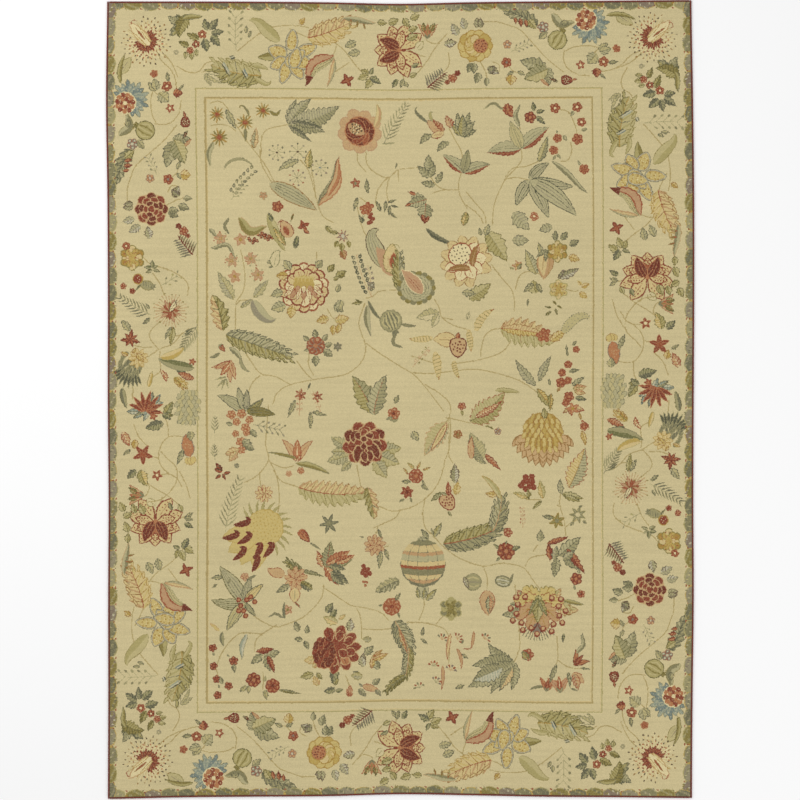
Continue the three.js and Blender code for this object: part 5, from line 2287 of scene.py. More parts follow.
    to(feather, 366, 489, 373, 519, ("tan", "olive", "olive", "slate"), width=0.36, teeth=4, bend=20),
    # The large maroon flower in the middle
    *leaves(("sage_dark", "sage", "olive"), (345, 447, 330, 437), (348, 456, 326, 462), (350, 462, 340, 472),
        (344, 452, 330, 452), width=0.56, teeth=4),
    *leaves(("sage_dark", "olive_pale", "slate"), (380, 450, 401, 449), (377, 455, 399, 465),
        (374, 460, 386, 479), width=0.6, teeth=4),
    at(dark_peony, 364, 444, 80, 46, ("maroon", "shell", "shell", "red")),
    at(bud, 393, 422, -86, 14, ("salmon", "red", "ivory"), leaves=("olive", "sage_dark", "sage")),
    at(posy, 393, 414, 0, 12, ("brick", "salmon", "maroon")),
    *leaves(SAGE, (392, 418, 385, 420), (394, 404, 398, 395), width=0.5),
    # The pink flowers and the red edged leaves
    at(posy, 415, 477, 0, 14, CORAL, petals=8),
    at(star, 406, 493, 15, 14, CHERRY, petals=6),
    *leaves(("straw", "olive_pale", "brick"), (414, 470, 406, 463), (416, 470, 420, 462),
        (422, 471, 430, 468), (407, 475, 402, 468), width=0.34),
    *leaves(SAGE, (410, 483, 400, 482), (422, 481, 424, 488), (404, 500, 398, 503), (409, 498, 411, 504),
        (420, 486, 428, 491), width=0.4),
    to(leaf, 446, 423, 424, 456, ("sage_dark", "olive_pale", "tan"), width=0.42, rim="tan", bend=-14),
    to(petal_leaf, 446, 424, 430, 451, ("tan", "brick", "olive"), width=0.2, bend=10),
    to(leaf, 411, 432, 418, 442, SAGE, width=0.6),
    to(leaf, 469, 422, 502, 394, OLIVE, width=0.46, bend=-30, rim="brick"),
    to(leaf, 474, 418, 500, 402, SALMON, width=0.22, bend=-20),
    to(frond, 494, 391, 518, 393, ("olive_pale", "olive"), width=0.2, bend=20),
    to(leaf, 483, 460, 470, 434, ("slate", "sage", "sage_dark"), width=0.5, bend=20),
    to(petal_leaf, 471, 460, 471, 438, APRICOT, width=0.3, bend=20),
    to(leaf, 484, 455, 500, 471, CORAL, width=0.26),
    *leaves(SAGE, (485, 464, 472, 458), width=0.3),
    at(posy, 497, 432, 0, 7, ("mauve", "brick", "sage")),
    at(posy, 461, 407, 0, 8, CORAL),
    at(posy, 457, 435, 0, 9, ("ochre", "brick", "olive")),
    *leaves(OLIVE, (461, 411, 462, 417), (489, 428, 484, 426), (492, 430, 489, 427), width=0.5),
    # The strawberry, and the long curved leaf under it
    at(fruit, 447, 503, 60, 19, ("shell", "red", "maroon")),
    to(leaf, 448, 497, 447, 482, CHERRY, width=0.36),
    to(leaf, 455, 496, 457, 482, ("gold", "yellow", "ochre"), width=0.5),
    to(leaf, 454, 484, 454, 464, ("slate", "mauve", "sage"), width=0.42),
    *leaves(("sage_dark", "green", "sage"), (440, 494, 430, 502), (447, 512, 451, 518), (446, 496, 438, 493),
        width=0.4),
    to(plume, 443, 545, 500, 527, ("olive", "slate", "brick", "sage_dark"), width=0.34, pairs=8, bend=-22),
    to(plume, 492, 532, 500, 497, ("sage_dark", "slate", "tan", "olive"), width=0.42, pairs=5, bend=-30),
    to(frond, 500, 500, 482, 478, ("olive_pale", "gold"), width=0.2, bend=-40),
    to(leaf, 496, 496, 484, 494, GOLD, width=0.5),
    # A banded round fruit gives way to a plain ribbed gourd with leaves
    at(gourd, 422, 565, 90, 48, ("sage_dark", "tan", "brick", "slate")),
    *leaves(("olive", "sage_dark", "olive_pale"), (418, 600, 416, 588), (425, 602, 436, 590),
        (423, 600, 424, 588), (433, 538, 441, 523), width=0.36),
    *leaves(SLATE, (428, 540, 420, 530), (432, 536, 430, 529), width=0.4),
    to(feather, 398, 582, 375, 593, ("sage_dark", "sage", "slate"), width=0.4, teeth=4, bend=-10),
    # The dark star and what hangs round it
    at(star, 328, 524, 20, 21, ("slate", "slate_dark", "sage_dark"), petals=6, width=0.36),
    at(bud, 299, 531, 50, 15, RED, leaves=ROSY),
    to(frond, 309, 543, 320, 550, SLATE, width=0.2),
    *leaves(("salmon", "red", "ivory"), (323, 568, 316, 551), (326, 570, 335, 584), (324, 566, 338, 586),
        width=0.42, rim="red"),
    *leaves(("slate", "green", "red"), (325, 568, 330, 541), (326, 566, 352, 560), width=0.42),
    *leaves(("red", "salmon", "maroon"), (325, 564, 350, 551), (334, 563, 354, 556), width=0.34),
    *leaves(("slate_dark", "slate", "sage"), (330, 572, 348, 584), (328, 566, 345, 570),
        (330, 575, 344, 586), width=0.4),
    at(berries, 365, 572, -110, 16, ("red", "maroon", "sage"), count=8),
    at(berries, 364, 584, -90, 9, ("brick", "red", "sage"), count=4),
    at(rosette, 374, 546, -60, 22, ("salmon", "red", "tan")),
    *leaves(SAGE, (377, 530, 381, 540), (380, 552, 378, 570), (384, 550, 388, 562), (363, 538, 358, 537),
        width=0.3),
    # The scaly red flower with the fringed leaves
    to(plume, 301, 573, 284, 560, ("olive", "green", "olive_dark"), width=0.4, pairs=4),
    to(leaf, 298, 571, 322, 577, ("slate", "green", "sage"), width=0.16, bend=20),
    at(rosette, 295, 579, 20, 24, ("salmon", "brick", "maroon")),
    to(petal_leaf, 284, 575, 267, 568, ("rose_tan", "brick", "tan"), width=0.56, curl=50),
    to(petal_leaf, 294, 588, 294, 604, ("tan", "brick", "sage_dark"), width=0.7),
    to(frond, 294, 602, 300, 608, ("brick", "slate"), width=0.3),
    to(leaf, 289, 585, 275, 593, SLATE, width=0.4),
    to(plume, 300, 583, 312, 590, ("olive", "slate", "olive_dark"), width=0.5, pairs=3),
    # The golden blossom
    at(artichoke, 542, 437, 90, 54, ("gold", "shell", "ochre")),
    *leaves(OLIVE, (544, 419, 543, 408), width=0.56),
    to(leaf, 568, 488, 584, 449, ("yellow", "sage_dark", "ochre"), width=0.42, bend=-12, rim="brick"),
    *leaves(SALMON, (588, 430, 580, 420), width=0.4),
    *leaves(GOLD, (581, 431, 585, 446), (580, 420, 578, 412), width=0.36),
    *(at(posy, x, y, 0, size, ROSY) for x, y, size in ((583, 427, 8), (565, 403, 8))),
    at(berries, 527, 484, -100, 21, ("red", "maroon", "tan"), count=9, high=0.9),
    *leaves(("yellow", "olive_pale", "gold"), (542, 499, 539, 480), (527, 498, 512, 493), width=0.36),
    *leaves(OLIVE, (541, 501, 531, 510), (528, 500, 527, 489), (530, 497, 530, 492), width=0.3),
    *leaves(("grey", "sage_dark", "sage"), (560, 494, 559, 479), width=0.4),
    *leaves(("sage", "olive", "olive_dark"), (561, 494, 583, 499), (563, 496, 580, 502), width=0.32),
    at(star, 577, 515, 0, 18, ("sage_dark", "olive_pale", "cream"), petals=7, width=0.4),
    *leaves(SAGE, (578, 507, 582, 506), (582, 521, 586, 524), (573, 522, 569, 526), width=0.6),
    at(star, 556, 521, 10, 17, ("olive", "gold", "sage_dark"), petals=6, width=0.44),
    to(leaf, 552, 518, 541, 516, SLATE, width=0.4),
    at(seeds, 522, 528, -92, 22, ("tan", "brick", "rose_tan"), pairs=5),
    at(posy, 507, 533, 0, 9, ("brick", "red", "tan")),
    at(posy, 505, 552, 0, 17, RED, petals=7),
    *leaves(GREEN, (498, 549, 492, 545), (511, 550, 520, 547), (505, 545, 506, 541), (499, 558, 495, 562),
        width=0.5),
    to(leaf, 539, 542, 540, 530, SLATE, width=0.6),
    # The red edged grey leaf
    *leaves(("sage_dark", "slate", "slate_dark"), (558, 556, 580, 537), (556, 558, 553, 578),
        (562, 556, 580, 570), width=0.44, teeth=3),
    *leaves(RED, (549, 558, 548, 543), (546, 544, 568, 537), (566, 549, 584, 574), (548, 545, 549, 562),
        width=0.24),
    to(leaf, 550, 560, 547, 543, MADDER, width=0.4),
    *leaves(GREY, (553, 560, 556, 546), (562, 560, 574, 551), width=0.5),
    at(posy, 575, 579, 0, 12, RED, petals=5),
    at(posy, 580, 594, 0, 8, ("brick", "red", "maroon")),
    *leaves(SLATE, (578, 574, 578, 568), (574, 590, 573, 585), width=0.5),
    at(globe, 472, 583, 0, 18, ("sage", "grey", "sage_dark", "pearl"), bands=3),
    at(globe, 502, 582, 10, 17, ("sage_dark", "pearl", "slate", "slate"), bands=4, high=0.7),
    to(frond, 509, 583, 512, 574, SLATE, width=0.3),
    to(leaf, 463, 578, 468, 590, ("grey", "mauve", "sage"), width=0.4),
    # The leaf cluster in the bottom left corner
    *(to(feather, 244, 603, x, y, tones, width=0.34, teeth=0, bend=bend) for x, y, bend, tones in (
        (219, 567, -10, ("grey", "olive", "slate")), (213, 600, 40, ("sage_dark", "olive", "olive_dark")),
        (227, 630, -20, ("olive_pale", "slate", "slate")),
        (250, 577, 14, ("grey", "sage_dark", "slate")), (255, 616, -10, SLATE),
        (262, 585, 20, ("straw", "sage_dark", "olive")))),
    *(at(dot_flower, x, y, 0, 5.5, ("red", "salmon"))
        for x, y in ((238, 600), (240, 606), (243, 611), (246, 600), (250, 597), (254, 602), (245, 616),
            (238, 611))),
    at(posy, 244, 577, 0, 8, ("rose_tan", "brick", "tan")),
    to(frond, 246, 580, 256, 575, SLATE, width=0.24),
    *leaves(SAGE, (216, 584, 211, 588), (222, 577, 210, 578), (227, 584, 230, 578), width=0.4),
    to(frond, 222, 632, 223, 645, ("slate", "sage_dark"), width=0.3, bend=-50),
    to(frond, 219, 631, 209, 623, ("straw", "tan"), width=0.3),
    *(at(posy, x, y, 0, size, MADDER, petals=5) for x, y, size in (
        (212, 648, 8), (213, 666, 8), (216, 679, 8), (228, 686, 8), (217, 695, 8), (233, 661, 9))),
    *leaves(SLATE, (212, 652, 214, 656), (219, 688, 217, 684), (222, 684, 219, 676), (233, 664, 234, 673),
        (229, 657, 226, 654), width=0.5),
    to(frond, 246, 634, 241, 660, ("blue_pale", "slate"), width=0.2, sway=16),
    *leaves(SLATE, (263, 656, 280, 652), (262, 655, 250, 664), (265, 656, 270, 672), width=0.5),
    *leaves(MADDER, (256, 652, 274, 649), (267, 656, 274, 673), width=0.34),
    at(posy, 253, 680, 0, 14, RED, petals=7),
    at(posy, 272, 686, 0, 14, CHERRY, petals=7),
    *leaves(("olive_pale", "sage_dark", "sage"), (246, 686, 239, 692), (248, 686, 248, 694),
        (264, 682, 265, 676), (264, 690, 266, 700), width=0.5),
    to(leaf, 278, 690, 301, 694, ("slate", "olive_dark", "sage"), width=0.16),
    at(star, 287, 610, 0, 11, ("rose_tan", "brick", "olive")),
    to(frond, 283, 618, 265, 617, SLATE, width=0.14, sway=40),
    to(frond, 284, 619, 284, 603, ("slate", "sage_dark"), width=0.2, bend=30),
    # The red double flower at the foot
    *leaves(SLATE, (298, 632, 294, 621), (306, 634, 307, 625), (302, 640, 293, 639), (304, 641, 308, 650),
        width=0.54),
    *leaves(("tan", "straw", "olive_pale"), (316, 660, 303, 661), (312, 668, 318, 662), (318, 686, 313, 676),
        width=0.6),
    *leaves(OLIVE, (313, 674, 299, 678), (316, 673, 322, 680), (335, 686, 334, 672), width=0.5),
    *leaves(GREEN, (335, 668, 332, 684), (325, 613, 333, 603), (330, 618, 336, 609), (335, 690, 323, 692),
        (335, 692, 343, 690), width=0.56),
    *leaves(("straw", "olive_pale", "tan"), (337, 624, 322, 617), (338, 620, 345, 615), width=0.5),
    at(foot_peony, 336, 650, 0, 50, ("red", "shell", "salmon", "maroon")),
    *leaves(("sage_dark", "mauve", "sage"), (349, 632, 350, 619), (362, 664, 363, 654), (363, 668, 360, 656),
        width=0.6),
    *leaves(SLATE, (364, 656, 373, 647), (378, 671, 374, 660), (359, 676, 352, 672), (372, 686, 380, 680),
        width=0.6),
    *leaves(("tan", "gold", "brick"), (371, 670, 373, 655), (372, 661, 388, 655), (373, 658, 382, 651),
        width=0.36),
    *leaves(("grey", "olive_pale", "sage"), (371, 641, 361, 640), (362, 678, 350, 676), width=0.6),
    to(petal_leaf, 362, 687, 379, 692, APRICOT, width=0.4),
    *leaves(("sage_dark", "grey", "slate"), (362, 688, 358, 684), (358, 690, 366, 698), (375, 691, 381, 698),
        width=0.5),
    at(bud, 349, 697, -88, 11, ("brick", "salmon", "ivory"), leaves=CORAL),
    # The long leaf and the pink flower
    to(plume, 394, 623, 409, 655, ("sage_dark", "slate", "tan", "slate_dark"), width=0.5, pairs=6, bend=20),
    to(plume, 408, 650, 404, 680, ("olive", "sage_dark", "tan", "grey"), width=0.34, pairs=6, bend=20),
    to(plume, 405, 678, 386, 694, ("olive_dark", "olive", "sage_dark"), width=0.3, pairs=5, bend=-30),
    to(leaf, 398, 630, 407, 656, ("brick", "tan", "salmon"), width=0.14),
    at(posy, 391, 608, 0, 17, ("brick", "salmon", "red"), petals=9),
    *leaves(SAGE, (394, 602, 400, 594), (397, 614, 399, 620), (382, 606, 377, 607), width=0.4),
    *leaves(SLATE, (421, 638, 423, 628), (420, 640, 427, 646), width=0.36),
    at(cluster, 450, 610, 0, 24, ("olive", "sage_dark", "olive_dark", "olive_pale")),
    *(at(twiglet, x, y, heading + 10, 11, tones) for x, y, heading, tones in (
        (441, 641, -70, ("slate", "brick", "tan")), (456, 640, -40, ("brick", "red", "tan")),
        (433, 668, -90, ("brick", "salmon", "sage")), (450, 672, -80, ("mauve", "brick", "tan")),
        (419, 690, -120, ("sage_dark", "brick", "sage")), (435, 684, -60, ("mauve", "brick", "sage")),
        (484, 640, -60, ("brick", "slate", "tan")))),
    *(to(frond, *span, ("tan", "brick"), width=0.16, bend=bend) for span, bend in (
        ((456, 650, 460, 669), 50), ((450, 635, 447, 660), -20), ((442, 667, 441, 690), 20),
        ((473, 632, 470, 650), 20), ((470, 650, 462, 650), 10))),
    *leaves(SAGE, (461, 655, 468, 660), (455, 690, 465, 686), (461, 645, 463, 640), width=0.4),
    to(petal_leaf, 486, 591, 487, 617, ("rose_tan", "brick", "tan"), width=0.6),
    to(leaf, 489, 596, 488, 616, ("salmon", "sage_dark", "brick"), width=0.36),
    # The slate spray of leaves
    *(to(leaf, 514, 663, x, y, SLATE, width=0.34, bend=bend) for x, y, bend in (
        (490, 645, 60), (473, 667, -20), (492, 693, -30), (511, 690, 24), (468, 688, 10))),
    to(leaf, 502, 668, 472, 682, ("blue_pale", "slate", "sage_dark"), width=0.5),
    to(leaf, 512, 668, 499, 692, ("tan", "slate", "sage"), width=0.36),
    # The vine leaf with ringed berries
    to(leaf, 525, 602, 516, 590, ("tan", "brick", "olive"), width=0.6),
    to(frond, 509, 606, 524, 587, ("slate", "sage_dark"), width=0.2, sway=60),
    *leaves(SLATE, (523, 612, 501, 616), width=0.46),
    *leaves(("olive_pale", "tan", "olive"), (556, 610, 578, 610), (560, 601, 570, 614), (553, 600, 560, 588),
        width=0.5),
    to(frond, 562, 600, 583, 605, ("olive", "slate"), width=0.2),
    at(grapes, 537, 612, 92, 56, ("olive_pale", "olive", "red", "shell", "slate_dark")),
    to(leaf, 563, 633, 562, 643, GREEN, width=0.3),
    at(posy, 527, 655, 0, 12, ("brick", "red", "sage_dark")),
    to(leaf, 528, 660, 521, 651, ("olive", "sage_dark", "brick"), width=0.6),
    # The small tulips in the corner
    at(tulip, 574, 665, -50, 17, RED, leaves=MADDER),
    to(frond, 576, 654, 582, 631, ("sage_dark", "slate"), width=0.2, sway=30),
    at(tulip, 546, 691, -80, 16, ROSY, leaves=SLATE),
    to(frond, 543, 687, 530, 690, SLATE, width=0.2, bend=-40),
    at(tulip, 560, 692, -96, 20, ("brick", "salmon", "ivory"), leaves=SAGE),
    to(petal_leaf, 572, 673, 584, 683, SALMON, width=0.6),
    to(leaf, 574, 674, 578, 690, ("salmon", "brick", "sage"), width=0.5),
    *leaves(SLATE, (568, 672, 570, 688), (570, 688, 578, 691), (556, 664, 549, 684), (580, 668, 590, 669),
        width=0.24),
)


SHEET_CORNER = complex(107.3, 2.0)
# The border stands a little closer together on the long sides: shares of each place's way from its corner
LONG_START_SHARE = 0.943
LONG_END_SHARE = 0.957
# Place from the outer edge on the head, right, foot and left sides, width, yarn
GUARD_LINES = (
    ((86.4, 90.6, 84.6, 89.0), 1.0, "olive_pale"), ((87.6, 91.8, 85.8, 90.2), 0.5, "sand"),
    ((95.4, 100.0, 93.4, 98.2), 1.6, "vine"), ((97.2, 101.8, 95.2, 100.0), 0.6, "sand"),
)


def sides(pen: Pen) -> list[tuple[Pen, float]]:
    """The four sides of the rug.

    Args:
        pen: stands at the chart's top left corner.

    Returns:
        For each side a pen at its start, with the outer edge on its left, and the side's length.
    """
    w, h = CHART_WIDTH, CHART_LENGTH
    return [
        (pen.moved(0, 0), w), (pen.moved(complex(w, 0), 90), h),
        (pen.moved(complex(w, h), 180), w), (pen.moved(complex(0, h), -90), h),
    ]


def drawn_in(x: float, corner: float, share: float) -> float:
    """A place along a side, moved to this share of its way from a corner."""
    return corner + (x - corner) * share


def draw_side(pen: Pen, vines: Sequence[Spots], motifs: Sequence[Placed], corner: float,
        share: float) -> None:
    """Draws the stems and the motifs of half a side.

    Args:
        pen: stands at the origin of the half's places.
        vines: its stems.
        motifs: its motifs.
        corner: the place along the side that they are drawn in toward.
        share: how far in, as a share of each place's way from that corner.
    """
    draw_vines(pen, [tuple((drawn_in(x, corner, share), y) for x, y in spots) for spots in vines])
    for motif in motifs:
        replace(motif, x=drawn_in(motif.x, corner, share)).draw(pen)


def draw_vines(pen: Pen, vines: Sequence[Spots]) -> None:
    """Fine stems through the places of each row."""
    for spots in vines:
        pen.curve([complex(x, y) for x, y in spots], 1.0, "vine", 0.85)


def draw_rug() -> Chart:
    """The whole design, from the ground up.

    Returns:
        The finished chart.
    """
    chart = Chart()
    pen = Pen(chart)
    for number, (side, length) in enumerate(sides(pen)):
        for insets, width, yarn in GUARD_LINES:
            near, before, after = insets[number], insets[number - 1], insets[(number + 1) % 4]
            frame_line = [complex(before, near), complex(length - after, near),
                complex(length - after, near + width)]
            side.fill(np.array([*frame_line, complex(before, near + width)]), yarn)
    for side, length in sides(pen):
        long_side = length > CHART_WIDTH
        start = side.moved(-SHEET_CORNER)
        end = side.moved(length - CHART_WIDTH - SHEET_CORNER)
        first, last = SHEET_CORNER.real, SHEET_CORNER.real + CHART_WIDTH
        draw_side(start, BORDER_START_VINES, BORDER_START, first, LONG_START_SHARE if long_side else 1.0)
        end_motifs = (*BORDER_END, *(LONG_ROSE if long_side else SHORT_ROSE))
        draw_side(end, BORDER_END_VINES, end_motifs, last, LONG_END_SHARE if long_side else 1.0)
    for turn in (0, 180):
        sheet = pen.moved(complex(CHART_WIDTH, CHART_LENGTH) if turn else 0, turn).moved(-SHEET_CORNER)
        draw_vines(sheet, SIDE_MIDDLE_VINES)
        for motif in SIDE_MIDDLE:
            motif.draw(sheet)
    sheet = pen.moved(-SHEET_CORNER)
    draw_vines(sheet, FIELD_VINES)
    for motif in FIELD:
        motif.draw(sheet)
    for side, length in sides(pen):
        lappets(side, length, 0.5)
    chart.waver(0.85, 3)
    return chart




# The rug's shape


RUG_WIDTH = 2693.0
RUG_LENGTH = 3657.0
PILE_TOP = 10.0
EDGE_TOP = 9.0
EDGE_WIDTH = 8.5
GAP = 0.3
SIDE_STRAY_LEFT = (-2.5, -4.1, -3.5, -5.6, -1.9, -2.4, -0.2, 6.2, 1.2)
SIDE_STRAY_RIGHT = (-4.4, -1.5, 3.9, 1.9, 3.7, 6.2, 5.9, 0.6, -6.9)
END_STRAY_FOOT = (8.5, 1.3, -1.9, -4.2, -13.0, -7.9, -1.5, 0.8, 4.5)
END_STRAY_HEAD = (2.0, 2.0, 1.2, -1.8, -8.7, -1.3, 2.4, 5.6, 8.6)


@dataclass(frozen=True)
class Swell:
    """A long low swell that the pile keeps after it has been rolled."""

    across: float
    along: float
    rise: float
    start: float


PILE_SWELLS = (Swell(1450, 690, 0.5, 0.6), Swell(620, 1180, 0.35, 2.1), Swell(390, 470, 0.2, 4.0))
SHOULDER_INSETS = (0.0, 1.6, 5.0)
SHOULDER_DROPS = (2.6, 0.9, 0.0)


def stray_at(strays: Sequence[float], share: np.ndarray) -> np.ndarray:
    """How far an edge strays outwards, on a smooth curve through the table.

    Args:
        strays: the strays at even steps along the edge.
        share: shares of the way along it, from 0 to 1.

    Returns:
        One stray for each share.
    """
    table = np.asarray(strays)
    spans = len(table) - 1
    place = np.clip(share, 0, 1) * spans
    first = np.minimum(np.floor(place).astype(int), spans - 1)
    t = place - first
    before = table[np.maximum(first - 1, 0)]
    a, b = table[first], table[first + 1]
    after = table[np.minimum(first + 2, spans)]
    ends = a * (2 * t**3 - 3 * t**2 + 1) + b * (3 * t**2 - 2 * t**3)
    return ends + (b - before) / 2 * (t**3 - 2 * t**2 + t) + (after - a) / 2 * (t**3 - t**2)


@dataclass(frozen=True)
class RugOutline:
    """The rug's outline: nominal width and length, and how each edge strays from straight."""

    width: float = RUG_WIDTH
    length: float = RUG_LENGTH

    def place(self, across: np.ndarray, along: np.ndarray) -> tuple[np.ndarray, np.ndarray]:
        """Places on the rug.

        Args:
            across: shares of the width from the left.
            along: shares of the length from the foot.

        Returns:
            The x and y places in millimetres.
        """
        left = -self.width / 2 - stray_at(SIDE_STRAY_LEFT, along)
        right = self.width / 2 + stray_at(SIDE_STRAY_RIGHT, along)
        foot = -self.length / 2 - stray_at(END_STRAY_FOOT, across)
        head = self.length / 2 + stray_at(END_STRAY_HEAD, across)
        return left + (right - left) * across, foot + (head - foot) * along

    def pile_height(self, across: np.ndarray, along: np.ndarray) -> np.ndarray:
        """How high the pile stands at places on the rug, in millimetres.

        Args:
            across: shares of the width from the left.
            along: shares of the length from the foot.

        Returns:
            One height for each place.
        """
        x, y = self.place(across, along)
        inset = np.minimum(
            np.minimum(across, 1 - across) * self.width, np.minimum(along, 1 - along) * self.length
        )
        drop = np.interp(inset - EDGE_WIDTH - GAP, SHOULDER_INSETS, SHOULDER_DROPS)
        height = PILE_TOP - drop
        for swell in PILE_SWELLS:
            wave = np.sin(2 * math.pi * x / swell.across + swell.start)
            height = height + swell.rise * wave * np.cos(2 * math.pi * y / swell.along + swell.start)
        return height


# Meshes


def linear(code: str) -> tuple[float, float, float, float]:
    """The linear colour of an sRGB hex code.

    Args:
        code: a # and six hex digits.

    Returns:
        Red, green, blue and alpha.
    """
    parts = [int(code[i : i + 2], 16) / 255 for i in (1, 3, 5)]
    red, green, blue = (c / 12.92 if c <= 0.04045 else ((c + 0.055) / 1.055) ** 2.4 for c in parts)
    return red, green, blue, 1.0


def make_piece(name: str, points: np.ndarray, faces: np.ndarray,
        material: bpy.types.Material) -> bpy.types.Object:
    """Makes a piece from arrays.

    Args:
        name: the piece's name.
        points: one row of x, y and z in millimetres for each corner.
        faces: one row of four corner numbers for each face.
        material: its finish.

    Returns:
        The new object, linked to the scene.
    """
    mesh = bpy.data.meshes.new(name)
    mesh.vertices.add(len(points))
    mesh.vertices.foreach_set("co", np.ascontiguousarray(points * MM, np.float32).ravel())
    mesh.loops.add(faces.size)
    mesh.loops.foreach_set("vertex_index", np.ascontiguousarray(faces, np.int32).ravel())
    mesh.polygons.add(len(faces))
    mesh.polygons.foreach_set("loop_start", np.arange(len(faces), dtype=np.int32) * 4)
    mesh.materials.append(material)
    mesh.update(calc_edges=True)
    mesh.validate()
    mesh.shade_smooth()
    piece = bpy.data.objects.new(name, mesh)
    bpy.context.scene.collection.objects.link(piece)
    return piece


def add_layout(piece: bpy.types.Object, corner_uv: np.ndarray) -> None:
    """Adds the flat layout in which the piece's colours can be stored, one place for each face corner."""
    layer = piece.data.uv_layers.new(name="OFBake")
    layer.data.foreach_set("uv", np.ascontiguousarray(corner_uv, np.float32).ravel())


def add_colours(piece: bpy.types.Object, corner_colours: np.ndarray) -> None:
    """Adds the yarn colours, one for each face corner."""
    layer = piece.data.color_attributes.new(name="Yarn", type="FLOAT_COLOR", domain="CORNER")
    layer.data.foreach_set("color", np.ascontiguousarray(corner_colours, np.float32).ravel())


def add_places(piece: bpy.types.Object, name: str, places: np.ndarray) -> None:
    """Adds a place for each corner of the mesh, such as its row and column of knots."""
    layer = piece.data.attributes.new(name=name, type="FLOAT_VECTOR", domain="POINT")
    layer.data.foreach_set("vector", np.ascontiguousarray(places, np.float32).ravel())


def fold(along: np.ndarray, across: np.ndarray, part: np.ndarray, folds: int,
        margin: float = 0.004) -> np.ndarray:
    """Places in a square layout of a long strip that is cut into parts laid side by side.

    Args:
        along: shares of the strip's length.
        across: shares of its width.
        part: which part each place belongs to.
        folds: how many parts there are.
        margin: the space kept round each part, as a share of the square.

    Returns:
        One row of two for each place.
    """
    u = (part + margin * folds + across * (1 - 2 * margin * folds)) / folds
    v = margin + (along * folds - part) * (1 - 2 * margin)
    return np.stack([u, v], axis=-1)


# Finishes


def add_node(
    tree: bpy.types.NodeTree,
    kind: str,
    settings: dict[str, object] | None = None,
    inputs: dict[int | str, object] | None = None,
) -> bpy.types.Node:
    """Adds a node to a material.

    Args:
        tree: the material's nodes.
        kind: the node's type.
        settings: its properties.
        inputs: values or sockets for its inputs, by name or number.

    Returns:
        The new node.
    """
    node = tree.nodes.new(kind)
    for name, value in (settings or {}).items():
        setattr(node, name, value)
    for name, value in (inputs or {}).items():
        if isinstance(value, bpy.types.NodeSocket):
            tree.links.new(value, node.inputs[name])
        else:
            node.inputs[name].default_value = value
    return node


def new_material(
    name: str, surface: dict[str, float]
) -> tuple[bpy.types.Material, bpy.types.NodeTree, bpy.types.Node]:
    """Makes a material.

    Args:
        name: its name.
        surface: values of its main shader that are the same all over.

    Returns:
        The material, its nodes and its main shader.
    """
    material = bpy.data.materials.new(name)
    material.use_nodes = True
    tree = material.node_tree
    shader = next(node for node in tree.nodes if node.type == "BSDF_PRINCIPLED")
    for socket, value in surface.items():
        shader.inputs[socket].default_value = value
    return material, tree, shader


class Side(Enum):
    """Which face of the knotted cloth a finish is for."""

    PILE = "pile"
    BACK = "back"


